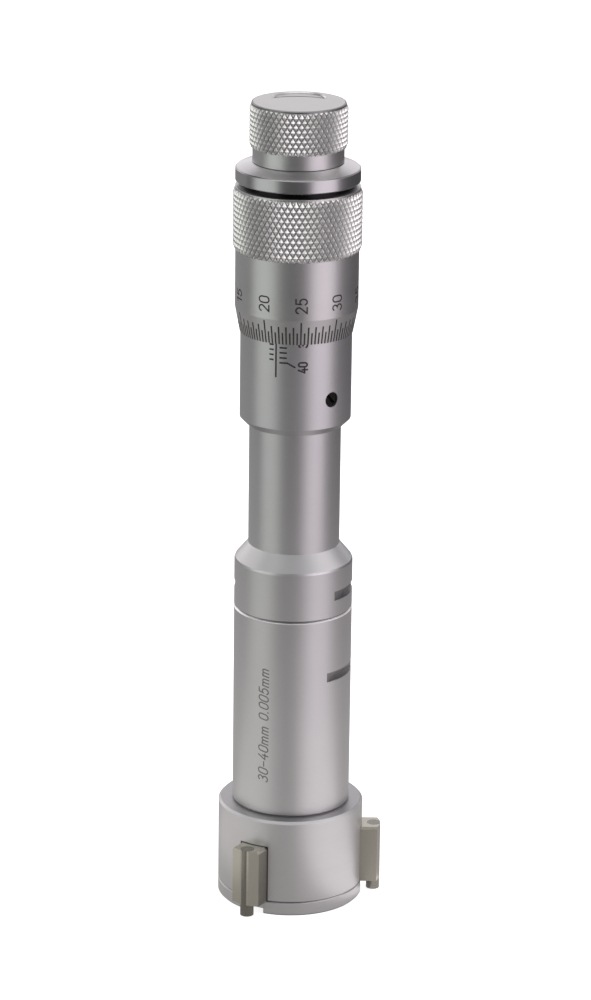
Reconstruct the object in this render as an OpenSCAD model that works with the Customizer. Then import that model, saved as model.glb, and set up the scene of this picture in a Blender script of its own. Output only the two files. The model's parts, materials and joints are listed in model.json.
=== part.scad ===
// Three-point inside micrometer, standing on its measuring head.
// The thimble screw pushes a cone down the instrument, and the cone spreads three anvils.
// Origin: centre of the cover's bottom face. +Z runs along the instrument, first anvil on +X.

/* [Measuring range] */
// Smallest bore that can be measured
range_min = 30; // [28:0.5:32]
// Largest bore that can be measured
range_max = 40; // [38:0.5:42]
// Bore diameter that the instrument is set to
reading = 36.215; // [33:0.005:38]

/* [Measuring head] */
// Diameter of the measuring head
head_d = 28.8; // [27.5:0.1:29.6]
// Height of the measuring head above its cover
head_h = 17.2; // [16.5:0.1:20]
// Chamfer round the top of the head
head_chamfer = 0.5; // [0.2:0.1:1]
// Thickness of the cover under the head
cover_h = 2.8; // [2.4:0.1:4]
// Chamfer round the bottom of the cover
cover_chamfer = 0.3; // [0.1:0.05:0.6]
// Chamfer on both sides of the seam between head and cover, and under the collar
seam_chamfer = 0.2; // [0.1:0.05:0.3]
// Floor left under the cone pocket in the cover
cover_floor = 0.8; // [0.6:0.1:1.2]
// Width of the cover's notches, where the pin ends pass
notch_w = 4.5; // [4:0.1:5]
// Radius of the circle that the cover screws stand on
cover_screw_circle_r = 12.5; // [12.2:0.05:12.6]
// Diameter of a cover screw's shank
cover_screw_d = 1.6; // [1.2:0.1:1.8]
// Diameter of a cover screw's countersunk head
cover_screw_head_d = 2.6; // [2.3:0.1:2.7]
// Length of a cover screw
cover_screw_l = 7; // [5:0.5:9]
// Width and depth of a cover screw's driver slot
cover_screw_slot_w = 0.4; // [0.3:0.05:0.6]

/* [Anvils] */
// Width of an anvil block
anvil_w = 6; // [5.4:0.1:6.6]
// Height of an anvil block
anvil_h = 11.55; // [10.5:0.05:12.5]
// Chamfer along the top side edges of a block
anvil_chamfer = 0.45; // [0.2:0.05:0.6]
// How far the front corners of a block fall back
anvil_nose = 0.6; // [0.3:0.1:1]
// Flat left in the middle of a block's front
anvil_flat_w = 2; // [1.6:0.1:3]
// Height of the upright part of a block's inner end
anvil_foot_h = 6.65; // [5.5:0.05:7.5]
// Diameter of a contact pin
pin_d = 2.7; // [2.3:0.1:3]
// How far a contact pin stands proud of its block
pin_proud = 0.1; // [0.05:0.01:0.2]
// How far a contact pin reaches below its block
pin_drop = 2.45; // [1.5:0.05:2.6]
// Mean radius of the ring spring that draws the anvils in
ring_spring_r = 9.3; // [9:0.1:9.8]
// Wire diameter of the ring spring
ring_spring_wire_d = 1.1; // [0.8:0.1:1.2]

/* [Cone and push rod] */
// How far the cone reaches above the anvils
cone_over = 2.3; // [1.5:0.1:2.6]
// Diameter of the stud that joins the rod to the cone
stud_d = 4; // [3:0.1:5]
// Length of the stud in the cone
stud_l = 8; // [6:0.5:9]
// Diameter of the push rod
rod_d = 6; // [5.4:0.1:6.6]
// Length of the push rod above the cone
rod_l = 45.3; // [44:0.1:47]
// Diameter of the thrust ball on top of the rod
ball_d = 4; // [3:0.1:5]
// How far the ball's centre stands above the rod
ball_rise = 0.6; // [0.3:0.1:1]
// Diameter of the spring collar on the rod
rod_collar_d = 14.4; // [13.8:0.1:15]
// Thickness of the spring collar
rod_collar_h = 2.2; // [1.5:0.1:2.6]
// Height of the rod's return spring at this setting
rod_spring_h = 16; // [14:0.1:17]
// Mean diameter of the rod's return spring
rod_spring_d = 12; // [11.4:0.1:12.6]
// Wire diameter of the rod's return spring
rod_spring_wire_d = 1.2; // [0.8:0.1:1.3]
// Open turns of the rod's return spring
rod_spring_turns = 5; // [3:1:6]

/* [Body] */
// Diameter of the body tube and of the collar
body_d = 23.26; // [22.6:0.1:25]
// Length of the body tube
body_l = 40.9; // [40:0.1:44]
// Bore of the body tube
body_bore_d = 17.4; // [17:0.1:17.6]
// Wall round the head's spigot, and behind a spanner slot
body_wall = 1.2; // [1:0.05:1.4]
// Length of the head's spigot in the body tube
spigot_l = 6; // [5.5:0.1:7]
// Chamfer round the ends of the body tube
body_chamfer = 0.4; // [0.1:0.05:0.6]
// Length of the upper rod guide
guide_l = 4; // [3:0.1:4.2]
// Thickness of the lower guide's flange
guide_flange_h = 2; // [1.5:0.1:2.3]
// Diameter of the lower guide's nose inside the spring
guide_nose_d = 10.2; // [9:0.1:10.6]
// Height of the lower guide's nose
guide_nose_h = 2.5; // [1.5:0.1:4]
// Height of a spanner slot
spanner_h = 1.9; // [1.5:0.1:2.2]
// Depth of a spanner slot
spanner_depth = 1.4; // [0.8:0.05:1.5]
// Middle of the body's spanner slots, below the body's top
body_spanner_drop = 12.2; // [9:0.1:16]
// Direction of the body's spanner slots, in degrees
body_spanner_turn = -25.5; // [-90:0.5:90]

/* [Stem] */
// Height of the collar
collar_h = 9.8; // [8:0.1:12]
// Middle of the collar's spanner slots, above the collar's foot
collar_spanner_rise = 4.4; // [2:0.1:6]
// Direction of the collar's spanner slots, in degrees
collar_spanner_turn = -17.5; // [-90:0.5:90]
// Height of the conical shoulder
shoulder_h = 3.25; // [2:0.05:5]
// Break along the shoulder's lower edge
shoulder_break = 0.25; // [0.1:0.05:0.5]
// Diameter of the neck
neck_d = 17.9; // [17.4:0.1:18.4]
// Visible length of the neck
neck_l = 24.45; // [22:0.05:28]
// Bore of the stem
stem_bore_d = 12.8; // [12:0.1:13.4]
// Length of the stem's spigot in the body tube
stem_spigot_l = 4; // [3:0.1:4.5]

/* [Sleeve] */
// Diameter of the sleeve
sleeve_d = 21.66; // [21.2:0.02:21.7]
// Chamfer round the foot of the sleeve
sleeve_chamfer = 1.4; // [0.5:0.1:1.4]
// Height of the range_max mark above the sleeve's foot
scale_rise = 14.9; // [13:0.1:17]
// Diameter of the sleeve's set screw
set_screw_d = 3; // [2.4:0.1:3.4]
// Height of the set screw above the sleeve's foot
set_screw_rise = 7; // [5:0.1:8]
// Direction of the set screw, in degrees
set_screw_turn = -49.7; // [-180:0.1:180]
// How far the set screw lies below the sleeve's surface
set_screw_sink = 0.45; // [0.2:0.05:0.7]
// Width of the set screw's driver slot
set_screw_slot_w = 0.6; // [0.4:0.05:0.8]
// Depth of the set screw's driver slot
set_screw_slot_depth = 0.7; // [0.4:0.05:0.8]
// Turn of that slot from upright, in degrees
set_screw_slot_turn = 40; // [0:5:180]

/* [Thimble] */
// Diameter of the thimble's barrel
thimble_d = 23.86; // [23:0.02:24]
// Wall of the thimble at its bevelled edge
thimble_edge = 0.07; // [0.05:0.01:0.15]
// Height of the bevel
bevel_h = 4.9; // [3.5:0.1:6]
// Height of the plain barrel between bevel and grip
barrel_h = 11.4; // [10:0.1:14]
// Diameter over the crests of the grip
grip_d = 24.95; // [24.8:0.05:26]
// Height of the grip
grip_h = 12.3; // [10:0.1:14]
// Height of the plain lip over the grip
grip_lip_h = 0.35; // [0.2:0.05:0.8]
// Diamonds round the thimble's grip
grip_count = 67; // [48:1:72]
// Steps of the diamond pattern up the thimble's grip
grip_rows = 12; // [8:1:14]
// Depth of the diamonds on both grips
knurl_depth = 0.4; // [0.2:0.05:0.45]
// Thickness of the web that closes the thimble
web_h = 4.2; // [3.5:0.1:5]

/* [Spindle] */
// Diameter of the spindle's screw
spindle_d = 8; // [7:0.1:8.6]
// Length of the spindle's screw below the web
screw_l = 33.5; // [31:0.1:36]
// Diameter of the plain spindle under the screw
spindle_tip_d = 6; // [5:0.1:6.6]
// Diameter of the shoulder under the web
spindle_shoulder_d = 11; // [10:0.1:12]
// Diameter of the spindle's upper stub
stub_d = 7; // [6:0.1:7.6]
// Length of the spindle's nut
nut_l = 20; // [14:0.5:24]
// Diameter of the nut's flange and of the adjusting nut
nut_flange_d = 15.2; // [14.6:0.1:15.6]
// Thickness of the nut's flange
nut_flange_h = 1.5; // [1:0.1:2]
// Thickness of the adjusting nut
adjuster_h = 2.5; // [2:0.1:3.5]
// Width of the adjusting nut's key slots
adjuster_slot_w = 1.6; // [1:0.1:2]
// Depth of the adjusting nut's key slots
adjuster_slot_depth = 1.25; // [0.8:0.05:1.8]

/* [Thimble nut] */
// Diameter of the groove between thimble and flange
groove_d = 22.6; // [20:0.1:23.4]
// Height of that groove
groove_h = 1.05; // [0.6:0.05:1.5]
// Diameter of the flange
flange_d = 24.1; // [23.6:0.1:25]
// Height of the flange's side
flange_h = 2.7; // [2:0.1:4]
// Rise of the flange's sloping top
crown_h = 0.95; // [0.5:0.05:1.4]
// Chamfer round the flange
flange_chamfer = 0.2; // [0.1:0.05:0.4]
// Diameter of the hub inside the knob
hub_d = 9.4; // [8.8:0.1:10]
// Height of the hub
hub_h = 1.6; // [1.4:0.1:2]

/* [Ratchet knob] */
// Diameter over the crests of the knob's grip
knob_d = 18.95; // [18.7:0.05:20]
// Height of the knob's grip
knob_grip_h = 8.65; // [8.4:0.05:11]
// Diamonds round the knob's grip
knob_count = 52; // [40:1:56]
// Steps of the diamond pattern up the knob's grip
knob_rows = 9; // [6:1:11]
// Diameter of the knob's neck
knob_neck_d = 17.6; // [17.4:0.1:18]
// Height of the knob's neck
knob_neck_h = 2.95; // [2.5:0.05:4]
// Bore of the knob
knob_bore_d = 14.4; // [14:0.1:14.8]
// Thickness of the knob's roof
knob_roof_h = 2.1; // [1.8:0.05:2.4]
// Height of the plain rim over the knob's grip
knob_rim_h = 0.3; // [0.1:0.05:0.5]
// Radius of the outer edge of the crescent pocket
pocket_r = 5.2; // [4.5:0.1:5.4]
// Centre of the pocket's outer edge, behind the axis
pocket_back = 3; // [2.5:0.1:3.2]
// Radius of the pocket's inner edge
pocket_inner_r = 8; // [7:0.1:10]
// Middle of the pocket's inner edge, behind the axis
pocket_inner_back = 4.3; // [3.8:0.1:5]
// Depth of the crescent pocket
pocket_depth = 1.1; // [0.5:0.05:1.3]

/* [Ratchet clutch] */
// Teeth on each clutch face
tooth_count = 20; // [12:1:30]
// Height of a clutch tooth
tooth_h = 0.6; // [0.3:0.05:0.8]
// Thickness of the clutch wheel under its teeth
wheel_h = 2; // [1.5:0.1:2.4]
// Thickness of the clutch ring over its teeth
clutch_ring_h = 1.7; // [1.3:0.1:1.9]
// Width of the clutch ring's lugs
lug_w = 2; // [1.5:0.1:2.4]
// How far the lugs reach into the knob's wall
lug_reach = 0.8; // [0.4:0.05:0.9]
// Wire diameter of the clutch spring
clutch_wire_d = 0.55; // [0.4:0.05:0.6]
// Open turns of the clutch spring
clutch_spring_turns = 1; // [1:1:2]
// Mean diameter of the clutch spring
clutch_spring_d = 10.6; // [10:0.1:11.2]
// Thickness of the retaining ring
retainer_h = 0.7; // [0.5:0.05:0.8]
// Width of the retaining ring, from its inner to its outer edge
retainer_w = 1.5; // [1.2:0.05:1.8]
// How far the retaining ring sits in the knob's wall
retainer_bite = 0.5; // [0.3:0.05:0.6]
// Opening of the retaining ring, in degrees
retainer_gap_deg = 50; // [20:1:90]

/* [Fits] */
// Radial clearance of a screwed or pressed seat
seat_gap = 0.02; // [0.01:0.005:0.04]
// Radial clearance of a running fit
run_gap = 0.05; // [0.02:0.01:0.08]
// Clearance over a sliding anvil
slide_gap = 0.1; // [0.05:0.01:0.2]
// Radial clearance between thimble and sleeve
thimble_gap = 0.09; // [0.05:0.01:0.1]
// Clearance round parts that pass without touching
free_gap = 0.35; // [0.3:0.05:0.4]

/* [Hidden] */

// Facets round a turned surface, round a small hole and round a spring's wire
$fn = 96;
small_fn = 32;
wire_fn = 8;
coil_steps = 16;
// Overshoot that carries a cut clear of a face
cut = 1;
// Rise of a spring's closed turn, as a share of its wire's diameter
closed_turn_share = 1.05;
// Share of a clutch disc's thickness that its toothed ring and its plain disc each take
disc_share = 2 / 3;
// Share of a clutch tooth's pitch that its steep side takes
steep_share = 0.12;

// Three anvils touch a bore, one on each side of the cone
anvil_count = 3;
// The cone's side gains half of its height, so the bore's diameter grows as fast as the thimble feeds
cone_slope = 0.5;

steel = [0.78, 0.77, 0.77];
ground_steel = [0.6, 0.58, 0.53];
carbide = [0.38, 0.37, 0.34];
bronze = [0.75, 0.56, 0.3];
spring_steel = [0.5, 0.52, 0.56];
black_steel = [0.12, 0.12, 0.13];

// How far the cone and thimble can still go down and up from this setting
feed_down = range_max - reading;
feed_up = reading - range_min;
anvil_step = 360 / anvil_count;

// Heights of the outside, from the cover up
head_r = head_d / 2;
body_r = body_d / 2;
neck_r = neck_d / 2;
head_top = cover_h + head_h;
body_top = head_top + body_l;
collar_top = body_top + collar_h;
shoulder_top = collar_top + shoulder_h;
sleeve_foot = shoulder_top + neck_l;
range_mark = sleeve_foot + scale_rise;
thimble_foot = range_mark + feed_down;
bevel_top = thimble_foot + bevel_h;
grip_foot = bevel_top + barrel_h;
thimble_top = grip_foot + grip_h;
web_foot = thimble_top - web_h;
flange_foot = thimble_top + groove_h;
flange_top = flange_foot + flange_h;
crown_top = flange_top + crown_h;
knob_grip_foot = crown_top + knob_neck_h;
knob_top = knob_grip_foot + knob_grip_h;
stem_top = web_foot - feed_down - free_gap;

// Anvils: the inner ends just clear each other at the smallest bore
anvil_foot = cover_h + run_gap;
anvil_top = anvil_foot + anvil_h;
tip_r = reading / 2;
anvil_inner_r = anvil_w / 2 / tan(180 / anvil_count) + free_gap / 2 + feed_up / 2;
anvil_front_r = tip_r - pin_proud;
pin_r = pin_d / 2;
pin_circle_r = tip_r - pin_r;
slope_foot = anvil_foot + anvil_foot_h;
notch_inner_r = range_min / 2 - pin_d - free_gap;

// Cone: its side runs parallel to the slanted inner ends of the anvils
function cone_r(z) = anvil_inner_r - seat_gap + cone_slope * (z - slope_foot);
cone_foot = cover_floor + free_gap + feed_down;
cone_top = anvil_top + cone_over;
cone_top_r = cone_r(cone_top);
cone_pocket_r = cone_r(cover_h + feed_down) + free_gap;
head_bore_r = cone_top_r + free_gap;
ring_spring_wire_r = ring_spring_wire_d / 2;
ring_spring_z = cover_h + seat_gap + ring_spring_wire_r;
ring_room_h = ring_spring_wire_d + free_gap;
ring_room_r = cover_screw_circle_r - cover_screw_d / 2 - free_gap;

// Push rod and its guides
rod_r = rod_d / 2;
rod_top = cone_top + rod_l;
ball_r = ball_d / 2;
ball_z = rod_top + ball_rise;
spigot_top = head_top + spigot_l;
spigot_r = body_r - body_wall - seat_gap;
body_bore_r = body_bore_d / 2;
upper_bore_r = body_r - spanner_depth - body_wall;
stem_spigot_foot = body_top - stem_spigot_l;
upper_guide_foot = stem_spigot_foot - guide_l;
lower_flange_top = spigot_top + guide_flange_h;
rod_collar_foot = lower_flange_top + rod_spring_h;

// Spindle and nut
spindle_r = spindle_d / 2;
spindle_foot = ball_z + ball_r + seat_gap;
stub_r = stub_d / 2;
nut_seat = stem_top - adjuster_h - nut_flange_h;
sleeve_r = sleeve_d / 2;
thimble_bore_r = sleeve_r + thimble_gap;
thimble_r = thimble_d / 2;

// Ratchet: wheel on the hub, ring over the wheel, spring over the ring
knob_foot = crown_top + slide_gap;
hub_top = crown_top + hub_h;
knob_bore_r = knob_bore_d / 2;
knob_roof = knob_top - knob_roof_h;
wheel_top = hub_top + wheel_h;
clutch_foot = wheel_top + tooth_h + slide_gap;
clutch_top = clutch_foot + tooth_h + clutch_ring_h;
clutch_r = knob_bore_r - run_gap;
tooth_outer_r = clutch_r - free_gap;
tooth_inner_r = stub_r + 2 * free_gap;
retainer_top = hub_top - slide_gap;
retainer_foot = retainer_top - retainer_h;
retainer_r = knob_bore_r + retainer_bite;

// A solid of revolution from [radius, height] points
module turned(outline) {
    rotate_extrude()
        polygon(outline);
}

// An upright tube
module tube(outer_r, inner_r, foot, height) {
    translate([0, 0, foot])
        difference() {
            cylinder(r = outer_r, h = height);
            translate([0, 0, -cut])
                cylinder(r = inner_r, h = height + 2 * cut);
        }
}

// An upright hole, long enough to leave both faces
module bore(r, foot, height) {
    translate([0, 0, foot])
        cylinder(r = r, h = height);
}

// Children turned to each anvil's direction
module at_anvils(offset_deg = 0) {
    for (k = [0:anvil_count - 1])
        rotate(k * anvil_step + offset_deg)
            children();
}

// Radius of a round core that stays inside a diamond drum's grooves
function drum_core_r(crest_r, count) = (crest_r - knurl_depth) * cos(180 / count) - seat_gap;

// A drum of diamond pyramids: crests half way between the crossings of two sets of grooves
module diamond_drum(crest_r, foot, height, count, rows) {
    steps = 2 * count;
    root_r = crest_r - knurl_depth;
    function is_root(i, j) = (i + j) % 2 == 0 || j == 0 || j == rows;
    function id(i, j) = j * steps + (i + steps) % steps;
    points = [for (j = [0:rows]) for (i = [0:steps - 1])
        let (r = is_root(i, j) ? root_r : crest_r, a = i * 360 / steps)
        [r * cos(a), r * sin(a), foot + j * height / rows]];
    pyramids = [for (j = [1:rows - 1]) for (i = [0:steps - 1]) if (!is_root(i, j))
        each [[id(i, j), id(i + 1, j), id(i, j - 1)],
              [id(i, j), id(i, j - 1), id(i - 1, j)],
              [id(i, j), id(i - 1, j), id(i, j + 1)],
              [id(i, j), id(i, j + 1), id(i + 1, j)]]];
    foot_rim = [for (i = [1:2:steps - 1]) [id(i - 1, 0), id(i, 1), id(i + 1, 0)]];
    top_rim = [for (i = [0:steps - 1]) if ((i + rows) % 2 == 1)
        [id(i + 1, rows), id(i, rows - 1), id(i - 1, rows)]];
    foot_cap = [for (i = [0:steps - 1]) if (i % 2 == 0) id(i, 0)];
    top_cap = [for (i = [steps - 1:-1:0]) if ((i + rows) % 2 == 0) id(i, rows)];
    polyhedron(points, concat(pyramids, foot_rim, top_rim, [foot_cap, top_cap]), convexity = 4);
}

// A compression spring with one closed turn at each end
module coil(mean_r, wire_r, foot, height, open_turns) {
    turns = open_turns + 2;
    closed_rise = closed_turn_share * 2 * wire_r;
    open_rise = (height - 2 * wire_r - 2 * closed_rise) / open_turns;
    last = turns * coil_steps;
    function rise(t) = t < 1 ? t * closed_rise
        : t < turns - 1 ? closed_rise + (t - 1) * open_rise
        : closed_rise + open_turns * open_rise + (t - turns + 1) * closed_rise;
    function id(i, k) = i * wire_fn + (k + wire_fn) % wire_fn;
    points = [for (i = [0:last]) for (k = [0:wire_fn - 1])
        let (t = i / coil_steps, a = t * 360, b = k * 360 / wire_fn, r = mean_r + wire_r * cos(b))
        [r * cos(a), r * sin(a), foot + wire_r + rise(t) + wire_r * sin(b)]];
    skin = [for (i = [0:last - 1]) for (k = [0:wire_fn - 1])
        each [[id(i, k), id(i, k + 1), id(i + 1, k + 1)], [id(i, k), id(i + 1, k + 1), id(i + 1, k)]]];
    start_cap = [for (k = [wire_fn - 1:-1:0]) id(0, k)];
    end_cap = [for (k = [0:wire_fn - 1]) id(last, k)];
    polyhedron(points, concat(skin, [start_cap, end_cap]), convexity = 8);
}

// A ring of saw teeth that rise from a flat base
module saw_teeth(outer_r, inner_r, foot, base_h) {
    stations = 2 * tooth_count;
    function station_deg(s) = (floor(s / 2) + (s % 2) * (1 - steep_share)) * 360 / tooth_count;
    function station_z(s) = foot + base_h + (s % 2) * tooth_h;
    function id(s, k) = ((s + stations) % stations) * 4 + k;
    points = [for (s = [0:stations - 1])
        let (c = cos(station_deg(s)), n = sin(station_deg(s)), z = station_z(s))
        each [[inner_r * c, inner_r * n, foot], [outer_r * c, outer_r * n, foot],
              [outer_r * c, outer_r * n, z], [inner_r * c, inner_r * n, z]]];
    faces = [for (s = [0:stations - 1]) for (k = [0:3])
        each [[id(s, k), id(s, (k + 1) % 4), id(s + 1, (k + 1) % 4)],
              [id(s, k), id(s + 1, (k + 1) % 4), id(s + 1, k)]]];
    polyhedron(points, faces, convexity = 4);
}

// Two flats milled across opposite sides of a round body
module spanner_slots(turn, z) {
    for (side = [0, 180])
        rotate(turn + side)
            translate([body_r - spanner_depth, -body_r, z - spanner_h / 2])
                cube([spanner_depth + cut, body_d, spanner_h]);
}

// Section of a slot for one anvil, with rounded upper corners, lying in the XY plane
module slot_section() {
    half_w = anvil_w / 2 + run_gap;
    top = anvil_top + slide_gap;
    corner_r = anvil_chamfer;
    translate([-half_w, cover_h - cut])
        square([2 * half_w, top - corner_r - cover_h + cut]);
    translate([-half_w + corner_r, cover_h])
        square([2 * (half_w - corner_r), top - cover_h]);
    for (side = [-1, 1])
        translate([side * (half_w - corner_r), top - corner_r])
            circle(r = corner_r, $fn = small_fn);
}

module measuring_head() {
    low_cone_top = cone_top - feed_down;
    color(steel)
    difference() {
        turned([[0, cover_h], [head_r - seam_chamfer, cover_h], [head_r, cover_h + seam_chamfer],
                [head_r, head_top - head_chamfer], [head_r - head_chamfer, head_top], [spigot_r, head_top],
                [spigot_r, spigot_top], [0, spigot_top]]);
        turned([[0, cover_h - cut], [cone_pocket_r - cone_slope * cut, cover_h - cut],
                [head_bore_r, low_cone_top], [head_bore_r, spigot_top + cut], [0, spigot_top + cut]]);
        bore(ring_room_r, cover_h - cut, ring_room_h + cut);
        at_anvils()
            rotate([90, 0, 90])
                linear_extrude(head_d)
                    slot_section();
        at_anvils(anvil_step / 2)
            translate([cover_screw_circle_r, 0, cover_h - cut])
                cylinder(d = cover_screw_d + 2 * seat_gap, h = cover_screw_l - cover_h + 2 * cut,
                         $fn = small_fn);
    }
}

module head_cover() {
    color(steel)
    difference() {
        turned([[0, 0], [head_r - cover_chamfer, 0], [head_r, cover_chamfer],
                [head_r, cover_h - seam_chamfer], [head_r - seam_chamfer, cover_h], [0, cover_h]]);
        turned([[0, cover_floor], [cone_pocket_r, cover_floor], [cone_pocket_r, cover_h + cut],
                [0, cover_h + cut]]);
        at_anvils()
            translate([notch_inner_r, -notch_w / 2, -cut])
                cube([head_d, notch_w, cover_h + 2 * cut]);
        at_anvils(anvil_step / 2)
            translate([cover_screw_circle_r, 0, 0])
                screw_shape(seat_gap, cut);
    }
}

// A countersunk screw, head down, grown by a clearance and by extra length at both ends
module screw_shape(gap, extra) {
    rim_r = cover_screw_head_d / 2 + gap;
    shank_r = cover_screw_d / 2 + gap;
    cone_h = rim_r - shank_r;
    top = cover_screw_l + extra;
    turned([[0, -extra], [rim_r, -extra], [rim_r, seat_gap], [shank_r, cone_h + seat_gap],
            [shank_r, top], [0, top]]);
}

module cover_screws() {
    color(black_steel)
    at_anvils(anvil_step / 2)
        translate([cover_screw_circle_r, 0, 0])
            difference() {
                screw_shape(0, 0);
                translate([-cover_screw_head_d, -cover_screw_slot_w / 2, -cut])
                    cube([2 * cover_screw_head_d, cover_screw_slot_w, cut + cover_screw_slot_w]);
            }
}

module ring_spring() {
    color(spring_steel)
    rotate_extrude()
        translate([ring_spring_r, ring_spring_z])
            circle(r = ring_spring_wire_r, $fn = small_fn);
}

module anvil(k) {
    half_w = anvil_w / 2;
    seat_in = ring_spring_r - ring_spring_wire_r - seat_gap;
    seat_out = ring_spring_r + ring_spring_wire_r + free_gap;
    slope_top_r = anvil_inner_r + cone_slope * (anvil_top + cut - slope_foot);
    color(ground_steel)
    rotate((k - 1) * anvil_step)
        difference() {
            intersection() {
                translate([0, 0, anvil_foot])
                    linear_extrude(anvil_h)
                        polygon([[0, -half_w], [anvil_front_r - anvil_nose, -half_w],
                                 [anvil_front_r, -anvil_flat_w / 2], [anvil_front_r, anvil_flat_w / 2],
                                 [anvil_front_r - anvil_nose, half_w], [0, half_w]]);
                rotate([90, 0, 90])
                    linear_extrude(2 * tip_r)
                        polygon([[-half_w, anvil_foot - cut], [half_w, anvil_foot - cut],
                                 [half_w, anvil_top - anvil_chamfer], [half_w - anvil_chamfer, anvil_top],
                                 [anvil_chamfer - half_w, anvil_top], [-half_w, anvil_top - anvil_chamfer]]);
                rotate([90, 0, 0])
                    linear_extrude(2 * anvil_w, center = true)
                        polygon([[anvil_inner_r, anvil_foot - cut], [2 * tip_r, anvil_foot - cut],
                                 [2 * tip_r, anvil_top + cut], [slope_top_r, anvil_top + cut],
                                 [anvil_inner_r, slope_foot]]);
            }
            translate([pin_circle_r, 0, anvil_foot - cut])
                cylinder(r = pin_r + seat_gap, h = anvil_h + 2 * cut, $fn = small_fn);
            tube(seat_out, seat_in, anvil_foot - cut, ring_room_h - run_gap + cut);
        }
}

module contact_pin(k) {
    color(carbide)
    rotate((k - 1) * anvil_step)
        translate([pin_circle_r, 0, anvil_foot - pin_drop])
            cylinder(r = pin_r, h = anvil_h + pin_drop, $fn = small_fn);
}

module cone() {
    color(ground_steel)
    difference() {
        turned([[0, cone_foot], [cone_r(cone_foot), cone_foot], [cone_top_r, cone_top], [0, cone_top]]);
        bore(stud_d / 2 + seat_gap, cone_top - stud_l - seat_gap, stud_l + cut);
    }
}

module push_rod() {
    color(ground_steel)
    difference() {
        turned([[0, cone_top - stud_l], [stud_d / 2, cone_top - stud_l], [stud_d / 2, cone_top],
                [rod_r, cone_top], [rod_r, rod_top], [0, rod_top]]);
        translate([0, 0, ball_z])
            sphere(r = ball_r + seat_gap);
    }
}

module spring_collar() {
    color(steel)
    tube(rod_collar_d / 2, rod_r + seat_gap, rod_collar_foot + run_gap, rod_collar_h);
}

module thrust_ball() {
    color(steel)
    translate([0, 0, ball_z])
        sphere(r = ball_r);
}

module body_tube() {
    color(steel)
    difference() {
        turned([[0, head_top], [body_r - body_chamfer, head_top], [body_r, head_top + body_chamfer],
                [body_r, body_top - body_chamfer], [body_r - body_chamfer, body_top], [0, body_top]]);
        turned([[0, head_top - cut], [spigot_r + seat_gap, head_top - cut], [spigot_r + seat_gap, spigot_top],
                [body_bore_r, spigot_top], [body_bore_r, upper_guide_foot], [upper_bore_r, upper_guide_foot],
                [upper_bore_r, body_top + cut], [0, body_top + cut]]);
        spanner_slots(body_spanner_turn, body_top - body_spanner_drop);
    }
}

module lower_guide() {
    flange_r = body_bore_r - seat_gap;
    color(bronze)
    difference() {
        turned([[0, spigot_top], [flange_r, spigot_top], [flange_r, lower_flange_top],
                [guide_nose_d / 2, lower_flange_top], [guide_nose_d / 2, lower_flange_top + guide_nose_h],
                [0, lower_flange_top + guide_nose_h]]);
        bore(rod_r + run_gap, spigot_top - cut, guide_flange_h + guide_nose_h + 2 * cut);
    }
}

module upper_guide() {
    color(bronze)
    tube(upper_bore_r - seat_gap, rod_r + run_gap, upper_guide_foot, guide_l);
}

module rod_spring() {
    color(spring_steel)
    coil(rod_spring_d / 2, rod_spring_wire_d / 2, lower_flange_top + seat_gap, rod_spring_h - seat_gap,
         rod_spring_turns);
}

module stem() {
    run = body_r - neck_r;
    slant = norm([run, shoulder_h]);
    color(steel)
    difference() {
        turned([[0, stem_spigot_foot], [upper_bore_r - seat_gap, stem_spigot_foot],
                [upper_bore_r - seat_gap, body_top], [body_r - seam_chamfer, body_top],
                [body_r, body_top + seam_chamfer], [body_r, collar_top - shoulder_break],
                [body_r - shoulder_break * run / slant, collar_top + shoulder_break * shoulder_h / slant],
                [neck_r, shoulder_top], [neck_r, stem_top], [0, stem_top]]);
        bore(stem_bore_d / 2, stem_spigot_foot - cut, stem_top);
        bore(nut_flange_d / 2 + seat_gap, nut_seat, stem_top);
        spanner_slots(collar_spanner_turn, body_top + collar_spanner_rise);
    }
}

module spindle_nut() {
    barrel_r = stem_bore_d / 2 - seat_gap;
    flange_r = nut_flange_d / 2;
    color(bronze)
    difference() {
        turned([[0, nut_seat - nut_l], [barrel_r, nut_seat - nut_l], [barrel_r, nut_seat],
                [flange_r, nut_seat], [flange_r, nut_seat + nut_flange_h], [0, nut_seat + nut_flange_h]]);
        bore(spindle_r + run_gap, nut_seat - nut_l - cut, nut_l + nut_flange_h + 2 * cut);
    }
}

module adjusting_nut() {
    color(steel)
    difference() {
        tube(nut_flange_d / 2, spindle_r + free_gap, nut_seat + nut_flange_h, adjuster_h);
        translate([-nut_flange_d, -adjuster_slot_w / 2, stem_top - adjuster_slot_depth])
            cube([2 * nut_flange_d, adjuster_slot_w, adjuster_slot_depth + cut]);
    }
}

module sleeve() {
    color(steel)
    difference() {
        turned([[neck_r + seat_gap, sleeve_foot], [sleeve_r - sleeve_chamfer, sleeve_foot],
                [sleeve_r, sleeve_foot + sleeve_chamfer], [sleeve_r, stem_top],
                [neck_r + seat_gap, stem_top]]);
        set_screw_place()
            cylinder(d = set_screw_d + 2 * seat_gap, h = sleeve_d, $fn = small_fn);
    }
}

// Children laid along the set screw's axis, with +Z pointing outwards
module set_screw_place() {
    translate([0, 0, sleeve_foot + set_screw_rise])
        rotate([0, 90, set_screw_turn])
            children();
}

module set_screw() {
    screw_foot = neck_r + seat_gap;
    screw_top = sleeve_r - set_screw_sink;
    color(black_steel)
    set_screw_place()
        difference() {
            translate([0, 0, screw_foot])
                cylinder(d = set_screw_d, h = screw_top - screw_foot, $fn = small_fn);
            rotate(set_screw_slot_turn)
                translate([-set_screw_d, -set_screw_slot_w / 2, screw_top - set_screw_slot_depth])
                    cube([2 * set_screw_d, set_screw_slot_w, set_screw_slot_depth + cut]);
        }
}

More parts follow.
